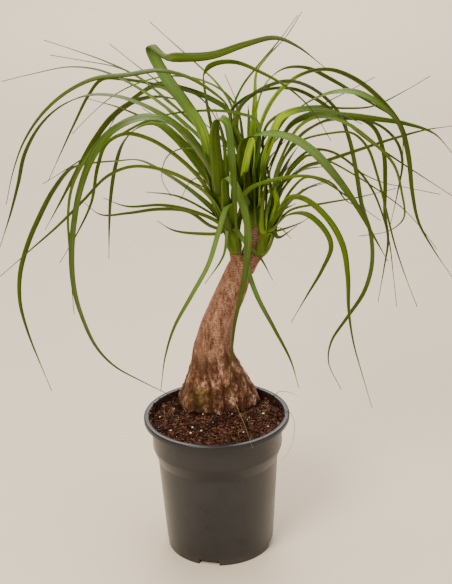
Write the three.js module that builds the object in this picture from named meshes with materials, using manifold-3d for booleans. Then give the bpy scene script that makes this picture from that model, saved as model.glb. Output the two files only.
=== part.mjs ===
// Potted ponytail palm: a nursery pot of peat mix, a swollen trunk that divides into three necks,
// and a head of long strap leaves on each neck.
// Millimetres, +Z up, origin on the floor under the middle of the pot. The front is -Y, and the
// trunk leans towards +X.
import * as THREE from 'three';
import { mergeVertices } from 'three/addons/utils/BufferGeometryUtils.js';
import Module from 'manifold-3d';

const wasm = await Module();
wasm.setup();

const GAP = 0.3; // clearance between neighbouring pieces

// Pot: a 21 cm nursery pot
const POT_SIDES = 40;
const POT_HEIGHT = 208;
const WALL = 1.6;
const LIP_RADIUS = 105;
const LIP_DEPTH = 7;
const LIP_INNER_RADIUS = 98.5;
const LIP_ROUNDING = 1.4;
const COLLAR_RADIUS = 93.8;
const COLLAR_TOP = 199;
const SHOULDER_TOP = 162;
const SHOULDER_BOTTOM = 143;
const BODY_TOP_RADIUS = 87;
const BODY_BOTTOM_RADIUS = 78.8;
const FOOT_RADIUS = 77.5;
const FOOT_HEIGHT = 12;
const FOOT_RING_INNER = 69;
const FOOT_ROUNDING = 1;
const CHANNEL_HEIGHT = 5; // the floor is raised this much between the foot ring and the middle
const CHANNEL_SLOPE = 4;
const MIDDLE_PAD_RADIUS = 25;
const NOTCH_WIDTH = 30;
const NOTCH_HEIGHT = 8;
const NOTCH_COUNT = 4;
const FIRST_NOTCH_DEG = -103;
const DRAIN_RADIUS = 6;
const DRAIN_RING_RADIUS = 48;
const DRAIN_SIDES = 12;

// Soil
const SOIL_EDGE_HEIGHT = 198.5;
const SOIL_RINGS = 6;
const SOIL_MOUND = 4; // rise of the surface round the trunk
const SOIL_MOUND_REACH = 75;
const SOIL_LUMP = 0.9;

// Trunk: [height, middle x, middle y, half width along x, half width along y]
const TRUNK_SIDES = 24;
const TRUNK_STATIONS = [
  [150, 4, 50, 40, 28],
  [175, 3, 50, 52, 34],
  [200, 2, 50, 58, 37],
  [216, 1, 49, 57, 37],
  [237, 1, 47, 48.5, 35.5],
  [255, 0, 45, 40.5, 33],
  [270, -1.5, 43, 34.5, 30],
  [286, -2.5, 41, 30, 28],
  [306, -1, 38, 26.5, 26],
  [338, 6, 33, 24, 24.5],
  [371, 20, 29, 23.5, 23.5],
  [403, 32, 25, 21, 22],
  [424, 40, 23, 19.5, 20],
  [434, 43, 22, 17, 16],
];
const TRUNK_RINGS = 25;
const SOIL_LINE = 200;
const SWELLING_TOP = 290; // the rough lobes and furrows fade out by this height
const LOBE_DEPTH = 0.05;
const FURROW_DEPTH = 0.022;
const SWAY_DEPTH = 0.012; // slight bends of the outline all the way up

// Necks: each is a short stem with rings of old leaf scars, [x, y, z, radius] from the fork up
const NECK_SIDES = 12;
const NECK_STEP = 4;
const SCAR_DEPTH = 0.5;
const SCAR_PITCH = 8;
const NECKS = {
  left: [[40, 22, 408, 13], [38, 20, 428, 11.5], [35, 18, 440, 9.5], [33, 17, 447, 8.5]],
  middle: [[40, 24, 404, 12], [49, 26, 432, 14], [57, 29, 450, 12.5], [62, 31, 464, 12], [61, 32, 480, 10]],
  right: [[50, 24, 414, 9], [57, 18, 430, 8], [64, 12, 441, 7.5], [70, 7, 448, 7.5]],
};

// Heads: the core is the bundle of young leaf bases that the leaves grow from, each up through a
// sheath that stands out from the axis
const HEADS = {
  left: {
    base: [33, 17, 447], lean: [-0.14, -0.05], height: 78, radius: 11, sheathOut: 9.2, facing: 165, seed: 11,
  },
  middle: {
    base: [61, 32, 480], lean: [-0.06, 0.1], height: 74, radius: 12, sheathOut: 9.6, facing: 95, seed: 23,
  },
  right: {
    base: [70, 7, 448], lean: [0.24, -0.04], height: 66, radius: 10, sheathOut: 7.2, facing: 5, seed: 37,
  },
};
const CORE_SIDES = 10;
const CORE_SHAPE = [[0, 0.74], [0.12, 1], [0.45, 0.95], [0.75, 0.6], [1, 0.25]]; // shares: height, radius
const LOWEST_ROOT = 0.1; // roots climb the core from the oldest leaf to the youngest
const HIGHEST_ROOT = 0.72;
const ROOT_OUT = 0.35; // share of the core's radius
const SHEATH_RISE = 26;

// Blades
const STEP_LENGTH = 51;
const FEWEST_STEPS = 4;
const MOST_STEPS = 18;
const BEND_REACH = 30; // a bend counts as this much length per radian, so steps are closer there
const BEND_SAMPLES = 400;
const TIP_WIDTH = 1.3;
const SHEATH_WIDENING = 0.35;
const SHEATH_SHARE = 0.22; // of the leaf's length
const TAPER_POWER = 2.6;
const KEEL_AT_TIP = 0.6;
const KEEL_PER_WIDTH = 0.07;
const SLIVER = 0.02; // edges and steps smaller than this are smoothed away

// Leaves that give the crown its outline, oldest and lowest first in each head:
// [width, twist in degrees at the root and at the tip, then points along the middle of the leaf]
const LEAVES = {
  left: [
    [7, 50, 100, [5, 10, 476], [-28, 0, 486], [-58, -10, 494], [-72, -10, 506]],
    [8, 40, 110, [7, 30, 478], [-28, 35, 502], [-70, 40, 506], [-155, 55, 496], [-176, 60, 512]],
    [7, 40, 80, [13, 10, 492], [-46, 5, 521], [-121, 0, 526], [-143, -5, 539]],
    [6, -10, -20, [20, -5, 459], [-10, -20, 416]],
    [8, 10, 40, [48, -25, 475], [69, -30, 452], [83, -30, 422]],
    [10, 20, 0, [29, -10, 528], [19, -35, 524], [0, -60, 468], [-59, -70, 359], [-75, -70, 281]],
    [9, 0, 80, [-2, -10, 541], [-61, -30, 584], [-118, -50, 591], [-186, -80, 537], [-272, -120, 474]],
    [12, -20, 100, [-13, 25, 526], [-103, 45, 579], [-142, 45, 572], [-176, 50, 572], [-204, 55, 551],
      [-267, 65, 435], [-279, 65, 374], [-272, 65, 318], [-243, 60, 222]],
    [13, 80, 280, [5, 45, 537], [-62, 80, 614], [-83, 90, 615], [-119, 105, 586], [-142, 110, 507],
      [-151, 110, 408]],
    [9, 20, 90, [-12, 5, 559], [-63, -5, 611], [-102, -10, 629], [-126, -15, 623], [-140, -15, 608],
      [-160, -25, 533], [-205, -30, 457]],
    [8, 40, 100, [4, 30, 561], [-51, 50, 627], [-78, 55, 630], [-139, 70, 652], [-164, 75, 657]],
    [7, 30, 90, [-5, 35, 576], [-53, 50, 626], [-75, 55, 629], [-237, 100, 529]],
    [17, -10, -70, [5, -15, 574], [-39, -50, 646], [-65, -60, 662], [-112, -80, 658], [-146, -90, 621],
      [-170, -90, 558], [-183, -85, 460], [-173, -75, 388], [-146, -60, 323], [-61, -40, 256]],
    [9, 10, -110, [5, -10, 568], [-63, -30, 657], [-119, -40, 647], [-179, -45, 570], [-189, -45, 481],
      [-189, -45, 387]],
    [15, 0, 120, [5, 40, 574], [-29, 60, 649], [-53, 65, 658], [-97, 75, 652], [-139, 85, 620],
      [-239, 100, 460]],
    [16, -90, 70, [2, 5, 573], [-41, 0, 636], [-112, -15, 680], [-163, -25, 684], [-210, -25, 656],
      [-245, -30, 600], [-254, -30, 562], [-284, -30, 482]],
    [13, -80, -40, [29, 40, 608], [30, 50, 639], [-57, 90, 670], [-78, 100, 664], [-132, 120, 617],
      [-143, 125, 596]],
    [7, -20, 20, [10, 30, 578], [-47, 40, 643], [-122, 50, 693], [-175, 50, 707], [-275, 50, 690]],
    [4, 0, -10, [12, 40, 577], [-26, 60, 629], [-48, 70, 645], [-101, 90, 687], [-215, 115, 710]],
    [9, 50, -40, [10, 40, 572], [-56, 65, 670], [-79, 70, 671], [-108, 75, 653]],
    [14, 10, 0, [30, 15, 609], [31, 10, 646], [-7, -15, 694], [-51, -35, 717], [-95, -55, 718],
      [-147, -70, 715], [-198, -80, 685], [-237, -85, 633], [-261, -85, 560]],
    [9, 60, 140, [22, 45, 586], [15, 55, 623], [-4, 65, 652], [-28, 75, 666], [-57, 85, 669],
      [-136, 105, 677], [-151, 110, 671], [-182, 120, 622], [-233, 130, 524]],
    [5, 10, -10, [13, 45, 573], [-4, 60, 602], [-92, 115, 673], [-144, 135, 696], [-228, 160, 722]],
    [4, 0, -20, [15, 55, 573], [-40, 100, 648], [-65, 115, 665], [-135, 150, 716]],
    [3, -30, -100, [8, 0, 582], [-10, -5, 602], [-46, -10, 603], [-59, -10, 586], [-62, -10, 560],
      [-51, -10, 540]],
    [13, 30, 60, [22, -20, 529], [23, -35, 573], [31, -45, 571], [50, -60, 513], [46, -60, 452],
      [28, -40, 355], [20, -30, 261]],
    [17, -20, 160, [14, -25, 558], [14, -55, 658], [24, -60, 657], [36, -70, 492], [40, -70, 465]],
    [18, -50, -170, [5, 0, 579], [-12, 5, 640], [-41, 10, 680], [-65, 15, 721], [-70, 10, 740],
      [-50, -10, 730], [-31, -20, 731], [-6, -30, 731], [77, -65, 760], [101, -75, 761],
      [152, -90, 725]],
    [9, 20, 60, [18, 25, 564], [9, 25, 607], [-2, 10, 699], [4, 0, 712], [35, -20, 723],
      [122, -65, 683], [158, -80, 631]],
  ],
  middle: [
    [8, -10, 0, [45, -10, 531], [49, -20, 548], [120, -50, 576], [159, -60, 569], [185, -60, 539],
      [205, -65, 534]],
    [11, -80, -10, [50, -20, 533], [49, -40, 472], [51, -45, 434], [106, -70, 315], [115, -70, 278]],
    [18, 30, 170, [47, 15, 581], [50, 10, 604], [62, 0, 617], [115, -35, 619], [171, -65, 571],
      [234, -75, 462]],
    [13, -70, -120, [51, 25, 549], [36, 25, 620], [39, 25, 644], [82, 20, 680], [124, 10, 686],
      [178, 0, 643], [193, -10, 597], [204, -15, 526], [218, -15, 477], [219, -15, 430], [207, -10, 387],
      [168, 0, 321], [160, 0, 291], [179, -5, 242]],
    [9, 120, 100, [54, 30, 569], [41, 30, 611], [31, 30, 638], [40, 30, 654], [79, 40, 670],
      [127, 50, 665], [233, 65, 580], [344, 85, 498]],
    [13, 40, -20, [66, 25, 570], [68, 30, 604], [83, 30, 649], [112, 30, 683], [150, 30, 698],
      [192, 30, 688], [260, 30, 619], [283, 30, 500], [294, 30, 467], [338, 30, 396]],
    [15, -60, 90, [78, 25, 570], [85, 20, 599], [112, 10, 645], [188, -15, 679], [251, -30, 637],
      [257, -30, 591]],
    [10, 100, -30, [64, 30, 589], [71, 40, 660], [95, 50, 692], [135, 70, 692], [156, 75, 682],
      [286, 135, 589]],
    [4, 10, 20, [73, 45, 571], [120, 65, 617], [237, 130, 662]],
    [3, -10, -30, [46, 60, 610], [42, 80, 640], [26, 100, 679]],
    [4, -20, -50, [44, 50, 585], [38, 60, 627], [27, 75, 656], [-77, 165, 742]],
    [4, 20, -30, [50, 45, 586], [35, 50, 655], [-21, 55, 687], [-76, 60, 684], [-132, 75, 657],
      [-190, 95, 602]],
    [6, 100, 180, [73, -5, 613], [69, -5, 638], [42, -5, 652], [-2, 15, 652], [-74, 40, 641],
      [-87, 40, 650]],
    [5, 20, -20, [49, 45, 586], [37, 55, 646], [104, 130, 719], [130, 145, 749]],
    [12, 20, 170, [61, 40, 573], [65, 40, 639], [71, 70, 692], [106, 105, 720], [135, 130, 756]],
    [14, -100, -220, [48, 5, 562], [60, -20, 619], [62, -25, 605], [58, -25, 570]],
  ],
  right: [
    [8, -30, -100, [92, 10, 470], [119, 5, 488]],
    [6, -30, -90, [88, 5, 480], [115, 0, 494], [128, -5, 495], [134, -10, 504]],
    [11, 20, 90, [83, 0, 492], [96, -10, 515], [116, -20, 528]],
    [11, 120, 300, [87, 0, 487], [98, -5, 503], [127, -20, 514], [157, -30, 488], [162, -35, 470],
      [108, -20, 355]],
    [5, -60, -110, [92, 15, 491], [107, 20, 504], [194, 35, 514], [258, 40, 526]],
    [10, -20, -210, [91, 0, 502], [115, -10, 535], [151, -25, 516], [179, -35, 468], [189, -40, 349],
      [218, -50, 234]],
    [5, -50, -110, [100, 10, 519], [128, 10, 554], [150, 10, 551], [231, -10, 497]],
    [4, -110, -170, [89, 20, 521], [120, 35, 568], [138, 40, 577], [272, 80, 484], [327, 100, 412]],
    [3, -70, -110, [97, 25, 534], [137, 50, 575], [157, 60, 578], [190, 75, 561], [224, 90, 528],
      [334, 130, 486]],
    [9, -60, -100, [92, 20, 521], [128, 35, 560], [160, 50, 565], [293, 90, 592], [346, 115, 592]],
    [5, -100, -90, [93, 25, 526], [125, 40, 576], [149, 45, 584], [174, 50, 576], [216, 55, 538],
      [247, 60, 465], [265, 60, 340]],
    [7, -50, -110, [88, 10, 539], [114, 5, 601], [156, -5, 618], [179, -10, 622], [198, -10, 615],
      [213, -15, 598], [254, -25, 451], [281, -30, 377]],
    [10, -60, -120, [90, 20, 542], [119, 25, 603], [168, 30, 630], [217, 30, 624], [238, 30, 584],
      [242, 30, 491], [247, 30, 461], [234, 30, 361]],
    [10, -70, -100, [88, 40, 543], [127, 60, 602], [162, 70, 616], [229, 85, 609], [265, 95, 577],
      [274, 100, 549], [258, 95, 453]],
    [6, 20, 60, [87, 5, 547], [129, -10, 638], [171, -30, 645], [241, -50, 590], [249, -55, 565],
      [257, -60, 522], [246, -60, 504], [198, -40, 486]],
    [13, 60, 230, [83, 20, 557], [119, 20, 632], [207, 10, 636], [300, 0, 615], [326, -5, 588]],
    [6, 80, 160, [74, 30, 560], [74, 40, 611], [101, 50, 634], [141, 65, 639], [225, 80, 632],
      [310, 100, 668]],
    [13, 10, -190, [74, 5, 555], [71, 0, 584], [81, -5, 629], [111, -15, 654], [173, -40, 656],
      [201, -50, 643]],
    [11, 50, 140, [78, 15, 559], [78, 10, 595], [110, 0, 647], [147, -10, 657]],
  ],
};

// Filling leaves: young ones between the leaves above, spread round the side that a head faces by
// the golden ratio, from the outer ones to the inner ones
const FILL_COUNT = 6;
const GOLDEN_SHARE = (Math.sqrt(5) - 1) / 2;
const FILL_SPREAD_DEG = 150;
const FILL_LENGTH = [140, 115];
const FILL_LENGTH_SHARE = [0.8, 1.2];
const FILL_LEAN_DEG = [32, 6];
const FILL_LEAN_EXTRA_DEG = 10;
const FILL_DROOP_DEG = [35, 15];
const FILL_DROOP_EXTRA_DEG = 15;
const FILL_TWIST_DEG = 30;
const FILL_WIDTH = [9, 12];
const FILL_POINTS = 3;

// Leaves of two heads that meet are bent clear of each other
const CLEARANCE = 2.2;
const CLEARING_ROUNDS = 60;
const PUSH_SHARE = 0.3;
const SPREAD_SHARE = 0.3; // share of a point's move that its neighbours follow

const COLOURS = {
  pot: 0x3b3836,
  soil: 0x4a2a1c,
  trunk: 0xa07c66,
  head: 0x5d7a25,
};

const radians = (degrees) => (degrees * Math.PI) / 180;
const mix = (a, b, t) => a + (b - a) * t;
const vector = (p) => new THREE.Vector3(p[0], p[1], p[2]);

// Turns a closed three.js geometry into a solid that can be joined and cut.
function toSolid(geometry) {
  const bare = geometry.index ? geometry.toNonIndexed() : geometry.clone();
  bare.deleteAttribute('normal');
  bare.deleteAttribute('uv');
  const merged = mergeVertices(bare, 1e-4);
  return new wasm.Manifold(new wasm.Mesh({
    numProp: 3,
    vertProperties: new Float32Array(merged.attributes.position.array),
    triVerts: new Uint32Array(merged.index.array),
  }));
}

// Keeps the largest body, so that loose scraps go and a hollow sealed by a join is filled.
function largestBody(solid) {
  return solid.decompose().reduce((best, body) => (body.volume() > best.volume() ? body : best));
}

function toGeometry(solid) {
  const { vertProperties, triVerts } = solid.getMesh();
  const geometry = new THREE.BufferGeometry();
  geometry.setAttribute('position', new THREE.BufferAttribute(new Float32Array(vertProperties), 3));
  geometry.setIndex(new THREE.BufferAttribute(new Uint32Array(triVerts), 1));
  geometry.computeVertexNormals();
  return geometry;
}

function piece(name, geometry, color, roughness) {
  const mesh = new THREE.Mesh(geometry, new THREE.MeshStandardMaterial({ color, roughness, metalness: 0 }));
  mesh.name = name;
  return mesh;
}

// Whether a four-sided patch of a surface, split from its first corner to its third, bulges out
// there: the last corner then lies below the plane of the others.
function bulges(p, q, r, s) {
  const normal = q.clone().sub(p).cross(r.clone().sub(p));
  return normal.dot(s.clone().sub(p)) <= 0;
}

// A closed surface through rings of points, each ring anticlockwise seen from the far end. Each
// patch is split so that it bulges out, and a twisted shape keeps its thickness.
function loft(rings) {
  const sides = rings[0].length;
  const points = rings.flat();
  const positions = points.flatMap((p) => [p.x, p.y, p.z]);
  const faces = [];
  for (let i = 0; i + 1 < rings.length; i += 1) {
    for (let j = 0; j < sides; j += 1) {
      const a = i * sides + j;
      const b = i * sides + ((j + 1) % sides);
      const [c, d] = [b + sides, a + sides];
      if (bulges(points[a], points[b], points[c], points[d])) {
        faces.push(a, b, c, a, c, d);
      } else {
        faces.push(a, b, d, b, c, d);
      }
    }
  }
  const last = (rings.length - 1) * sides;
  for (let j = 1; j + 1 < sides; j += 1) {
    faces.push(0, j + 1, j, last, last + j, last + j + 1);
  }
  const geometry = new THREE.BufferGeometry();
  geometry.setAttribute('position', new THREE.Float32BufferAttribute(positions, 3));
  geometry.setIndex(faces);
  return geometry;
}

// A profile of [radius, height] points turned round Z, its sides starting on +X.
function turned(profile, sides) {
  const lathe = new THREE.LatheGeometry(profile.map(([r, z]) => new THREE.Vector2(r, z)), sides);
  lathe.rotateX(Math.PI / 2);
  return lathe;
}

// Inside radius of the pot at a height: the outside less the wall.
function potInside(z) {
  if (z >= SHOULDER_TOP) return COLLAR_RADIUS - WALL;
  if (z >= SHOULDER_BOTTOM) {
    const t = (z - SHOULDER_BOTTOM) / (SHOULDER_TOP - SHOULDER_BOTTOM);
    return mix(BODY_TOP_RADIUS, COLLAR_RADIUS, t) - WALL;
  }
  const t = (z - FOOT_HEIGHT) / (SHOULDER_BOTTOM - FOOT_HEIGHT);
  return mix(BODY_BOTTOM_RADIUS, BODY_TOP_RADIUS, t) - WALL;
}

function pot() {
  const underside = [
    [0, 0],
    [MIDDLE_PAD_RADIUS, 0],
    [MIDDLE_PAD_RADIUS + CHANNEL_SLOPE, CHANNEL_HEIGHT],
    [FOOT_RING_INNER - CHANNEL_SLOPE, CHANNEL_HEIGHT],
    [FOOT_RING_INNER, 0],
    [FOOT_RADIUS - FOOT_ROUNDING, 0],
  ];
  const outside = [
    [FOOT_RADIUS, FOOT_ROUNDING],
    [FOOT_RADIUS, FOOT_HEIGHT],
    [BODY_BOTTOM_RADIUS, FOOT_HEIGHT + FOOT_ROUNDING],
    [BODY_TOP_RADIUS, SHOULDER_BOTTOM],
    [COLLAR_RADIUS, SHOULDER_TOP],
    [COLLAR_RADIUS, COLLAR_TOP],
  ];
  const lip = [
    [LIP_INNER_RADIUS, POT_HEIGHT - WALL],
    [LIP_RADIUS - WALL, POT_HEIGHT - WALL],
    [LIP_RADIUS - WALL, POT_HEIGHT - LIP_DEPTH],
    [LIP_RADIUS, POT_HEIGHT - LIP_DEPTH],
    [LIP_RADIUS, POT_HEIGHT - LIP_ROUNDING],
    [LIP_RADIUS - LIP_ROUNDING, POT_HEIGHT],
    [LIP_INNER_RADIUS - WALL / 2, POT_HEIGHT],
  ];
  const inside = [
    [potInside(COLLAR_TOP), COLLAR_TOP - WALL / 2],
    [potInside(SHOULDER_TOP), SHOULDER_TOP],
    [potInside(SHOULDER_BOTTOM), SHOULDER_BOTTOM],
    [potInside(FOOT_HEIGHT), FOOT_HEIGHT],
    [FOOT_RING_INNER - WALL, CHANNEL_HEIGHT + WALL],
    [MIDDLE_PAD_RADIUS + CHANNEL_SLOPE, CHANNEL_HEIGHT + WALL],
    [MIDDLE_PAD_RADIUS - WALL, WALL],
    [0, WALL],
  ];
  let solid = toSolid(turned([...underside, ...outside, ...lip, ...inside], POT_SIDES));
  for (let i = 0; i < NOTCH_COUNT; i += 1) {
    const turn = radians(FIRST_NOTCH_DEG + (i * 360) / NOTCH_COUNT);
    const notchDepth = 2 * (FOOT_RADIUS - FOOT_RING_INNER + CHANNEL_SLOPE);
    const notch = new THREE.BoxGeometry(notchDepth, NOTCH_WIDTH, 2 * NOTCH_HEIGHT);
    notch.translate(FOOT_RADIUS, 0, 0);
    notch.rotateZ(turn);
    const drainDepth = 4 * CHANNEL_HEIGHT;
    const drain = new THREE.CylinderGeometry(DRAIN_RADIUS, DRAIN_RADIUS, drainDepth, DRAIN_SIDES);
    drain.rotateX(Math.PI / 2);
    drain.translate(DRAIN_RING_RADIUS, 0, CHANNEL_HEIGHT);
    drain.rotateZ(turn);
    solid = solid.subtract(toSolid(notch)).subtract(toSolid(drain));
  }
  return toGeometry(largestBody(solid));
}

// The surface rises gently towards the trunk and is lumpy all over.
function soilHeight(x, y) {
  const [, trunkX, trunkY] = TRUNK_STATIONS[2];
  const away = Math.hypot(x - trunkX, y - trunkY) / SOIL_MOUND_REACH;
  const lumps = Math.sin(x * 0.11 + 1) * Math.cos(y * 0.13) + Math.sin(x * 0.23 - y * 0.19);
  return SOIL_EDGE_HEIGHT + SOIL_MOUND * Math.exp(-away * away) + SOIL_LUMP * lumps;
}

function soilRing(radius, height) {
  return Array.from({ length: POT_SIDES }, (_, j) => {
    const turn = (j / POT_SIDES) * 2 * Math.PI;
    const x = radius * Math.cos(turn);
    const y = radius * Math.sin(turn);
    return new THREE.Vector3(x, y, height ?? soilHeight(x, y));
  });
}

function soil(trunkSolid) {
  const floorTop = CHANNEL_HEIGHT + WALL + GAP;
  const rings = [soilRing(FOOT_RING_INNER - 2 * WALL, floorTop)];
  [FOOT_HEIGHT + WALL, SHOULDER_BOTTOM, SHOULDER_TOP].forEach((z) => {
    rings.push(soilRing(potInside(z) - 2 * GAP, z));
  });
  const edge = potInside(SHOULDER_TOP) - GAP;
  for (let i = 0; i < SOIL_RINGS; i += 1) {
    rings.push(soilRing(edge * (1 - i / SOIL_RINGS)));
  }
  return toGeometry(largestBody(toSolid(loft(rings)).subtract(trunkSolid)));
}

// Smooth values between the trunk's stations at a height.
function trunkAt(z) {
  const last = TRUNK_STATIONS.length - 1;
  let i = 0;
  while (i < last - 1 && z > TRUNK_STATIONS[i + 1][0]) i += 1;
  const before = TRUNK_STATIONS[Math.max(i - 1, 0)];
  const from = TRUNK_STATIONS[i];
  const to = TRUNK_STATIONS[i + 1];
  const after = TRUNK_STATIONS[Math.min(i + 2, last)];
  const span = to[0] - from[0];
  const t = (z - from[0]) / span;
  return from.map((value, k) => {
    const slopeIn = ((to[k] - before[k]) / (to[0] - before[0])) * span;
    const slopeOut = ((after[k] - value) / (after[0] - from[0])) * span;
    const t2 = t * t;
    const t3 = t2 * t;
    return value * (2 * t3 - 3 * t2 + 1) + slopeIn * (t3 - 2 * t2 + t)
      + to[k] * (3 * t2 - 2 * t3) + slopeOut * (t3 - t2);
  });
}

// Lobes and furrows of the swollen base, as a factor on its radius.
function barkRelief(turn, z) {
  const fade = THREE.MathUtils.clamp((SWELLING_TOP - z) / (SWELLING_TOP - SOIL_LINE), 0, 1);
  const lobes = Math.cos(3 * turn + 0.7) + 0.6 * Math.cos(5 * turn - 1.1);
  const furrows = Math.sin(9 * turn + z * 0.02);
  const sway = Math.sin(4 * turn + z * 0.07);
  return 1 + fade * (LOBE_DEPTH * lobes + FURROW_DEPTH * furrows) + SWAY_DEPTH * sway;
}

function trunkBody(growth) {
  const bottom = TRUNK_STATIONS[0][0];
  const top = TRUNK_STATIONS[TRUNK_STATIONS.length - 1][0];
  const rings = [];
  for (let i = 0; i < TRUNK_RINGS; i += 1) {
    const z = mix(bottom, top, i / (TRUNK_RINGS - 1));
    const [, cx, cy, rx, ry] = trunkAt(z);
    rings.push(Array.from({ length: TRUNK_SIDES }, (_, j) => {
      const turn = (j / TRUNK_SIDES) * 2 * Math.PI;
      const relief = barkRelief(turn, z);
      const x = cx + (rx * relief + growth) * Math.cos(turn);
      const y = cy + (ry * relief + growth) * Math.sin(turn);
      return new THREE.Vector3(x, y, z - (i === 0 ? growth : 0));
    }));
  }
  return toSolid(loft(rings));
}

// A level ring of points round a middle.
function levelRing(middle, radius, sides) {
  return Array.from({ length: sides }, (_, j) => {
    const turn = (j / sides) * 2 * Math.PI;
    const spoke = new THREE.Vector3(Math.cos(turn), Math.sin(turn), 0);
    return middle.clone().addScaledVector(spoke, radius);
  });
}

// A tapering stem along a smooth curve, ringed by shallow leaf scars; its last face is level.
function neck(stations) {
  const curve = new THREE.CatmullRomCurve3(stations.map(vector), false, 'centripetal');
  const steps = Math.round(curve.getLength() / NECK_STEP);
  const rings = [];
  for (let i = 0; i <= steps; i += 1) {
    const t = i / steps;
    const middle = curve.getPoint(t);
    const along = t * (stations.length - 1);
    const k = Math.min(Math.floor(along), stations.length - 2);
    const scar = i < steps ? SCAR_DEPTH * Math.cos((middle.z / SCAR_PITCH) * 2 * Math.PI) : 0;
    const radius = mix(stations[k][3], stations[k + 1][3], along - k) + scar;
    rings.push(levelRing(middle, radius, NECK_SIDES));
  }
  return toSolid(loft(rings));
}

function trunk() {
  const necks = Object.values(NECKS).map(neck);
  return largestBody(necks.reduce((whole, branch) => whole.add(branch), trunkBody(0)));
}

// A point on the axis of a head, at a height above its base.
function headAxis(head, rise) {
  const [x, y, z] = head.base;
  return new THREE.Vector3(x + head.lean[0] * rise, y + head.lean[1] * rise, z + rise);
}

// The core swells a little above its base and closes to a narrow top.
function headCore(head) {
  return toSolid(loft(CORE_SHAPE.map(([height, width]) => {
    const rise = Math.max(height * head.height, GAP);
    return levelRing(headAxis(head, rise), width * head.radius, CORE_SIDES);
  })));
}

// A repeatable run of numbers from 0 to 1.
function seededDraw(seed) {
  let state = seed;
  return () => {
    state = (Math.imul(state, 1664525) + 1013904223) >>> 0;
    return state / 4294967296;
  };
}

// Filling leaves, the inner ones shorter and more upright.
function fillingRows(head) {
  const draw = seededDraw(head.seed);
  return Array.from({ length: FILL_COUNT }, (_, i) => {
    const inward = i / (FILL_COUNT - 1);
    const turn = radians(head.facing + FILL_SPREAD_DEG * (((i * GOLDEN_SHARE) % 1) - 0.5));
    const lean = radians(mix(...FILL_LEAN_DEG, inward) + FILL_LEAN_EXTRA_DEG * draw());
    const droop = radians(mix(...FILL_DROOP_DEG, inward) + FILL_DROOP_EXTRA_DEG * draw());
    const step = (mix(...FILL_LENGTH, inward) * mix(...FILL_LENGTH_SHARE, draw())) / FILL_POINTS;
    const middle = headAxis(head, head.height * mix(LOWEST_ROOT, HIGHEST_ROOT, inward));
    const points = [];
    let out = 0;
    let up = 0;
    for (let k = 0; k < FILL_POINTS; k += 1) {
      const angle = lean + (droop * k * 2) / FILL_POINTS;
      out += step * Math.sin(angle);
      up += step * Math.cos(angle);
      points.push([middle.x + out * Math.cos(turn), middle.y + out * Math.sin(turn), middle.z + up]);
    }
    const width = mix(...FILL_WIDTH, draw());
    return [width, 0, FILL_TWIST_DEG * (2 * draw() - 1), ...points];
  });
}

// Points on a curve at even steps, where a bend adds to the length.
function steppedPoints(curve) {
  const fine = Array.from({ length: BEND_SAMPLES + 1 }, (_, i) => curve.getPoint(i / BEND_SAMPLES));
  const length = [0];
  for (let i = 1; i < fine.length; i += 1) {
    const step = fine[i].clone().sub(fine[i - 1]);
    const bend = i > 1 ? step.angleTo(fine[i - 1].clone().sub(fine[i - 2])) : 0;
    length.push(length[i - 1] + step.length() + BEND_REACH * bend);
  }
  const wanted = Math.round(length[BEND_SAMPLES] / STEP_LENGTH);
  const steps = THREE.MathUtils.clamp(wanted, FEWEST_STEPS, MOST_STEPS);
  let i = 1;
  return Array.from({ length: steps + 1 }, (_, k) => {
    const target = (length[BEND_SAMPLES] * k) / steps;
    while (i < BEND_SAMPLES && length[i] < target) i += 1;
    const part = Math.min((target - length[i - 1]) / (length[i] - length[i - 1]), 1);
    return curve.getPoint((i - 1 + part) / BEND_SAMPLES);
  });
}

// The middle line of a leaf: up out of the core as a sheath, then through its points.
function leafLine(head, place, row) {
  const [width, ...twist] = row.slice(0, 3);
  const stations = row.slice(3);
  const rise = head.height * mix(LOWEST_ROOT, HIGHEST_ROOT, place);
  const root = headAxis(head, rise);
  const sheath = headAxis(head, rise + SHEATH_RISE);
  const outward = vector(stations[0]).sub(root).setZ(0).normalize();
  root.addScaledVector(outward, head.radius * ROOT_OUT);
  sheath.addScaledVector(outward, head.sheathOut);
  const curve = new THREE.CatmullRomCurve3([root, sheath, ...stations.map(vector)], false, 'centripetal');
  return { width, twist: twist.map(radians), outward, points: steppedPoints(curve) };
}

function headLines(head, rows) {
  const outline = rows.map((row, i) => leafLine(head, i / (rows.length - 1), row));
  const filling = fillingRows(head);
  return outline.concat(filling.map((row, i) => leafLine(head, i / (filling.length - 1), row)));
}

// Width along the leaf: a broad sheath, an even strap, then a long taper to a thread.
function widthAt(width, t) {
  const sheath = 1 + SHEATH_WIDENING * Math.exp(-((t / SHEATH_SHARE) ** 2));
  return Math.max(width * sheath * (1 - t ** TAPER_POWER), TIP_WIDTH);
}

// Directions across the leaf, carried along its line without turning, then twisted evenly from
// the first angle to the second.
function leafSides(line) {
  const { points, twist, outward } = line;
  const last = points.length - 1;
  let across = new THREE.Vector3(-outward.y, outward.x, 0);
  return points.map((point, i) => {
    const ahead = points[Math.min(i + 1, last)];
    const behind = points[Math.max(i - 1, 0)];
    const along = ahead.clone().sub(behind).normalize();
    across = across.clone().addScaledVector(along, -across.dot(along)).normalize();
    const side = across.clone().applyAxisAngle(along, mix(...twist, i / last));
    return { side, face: along.clone().cross(side).normalize() };
  });
}

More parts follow.
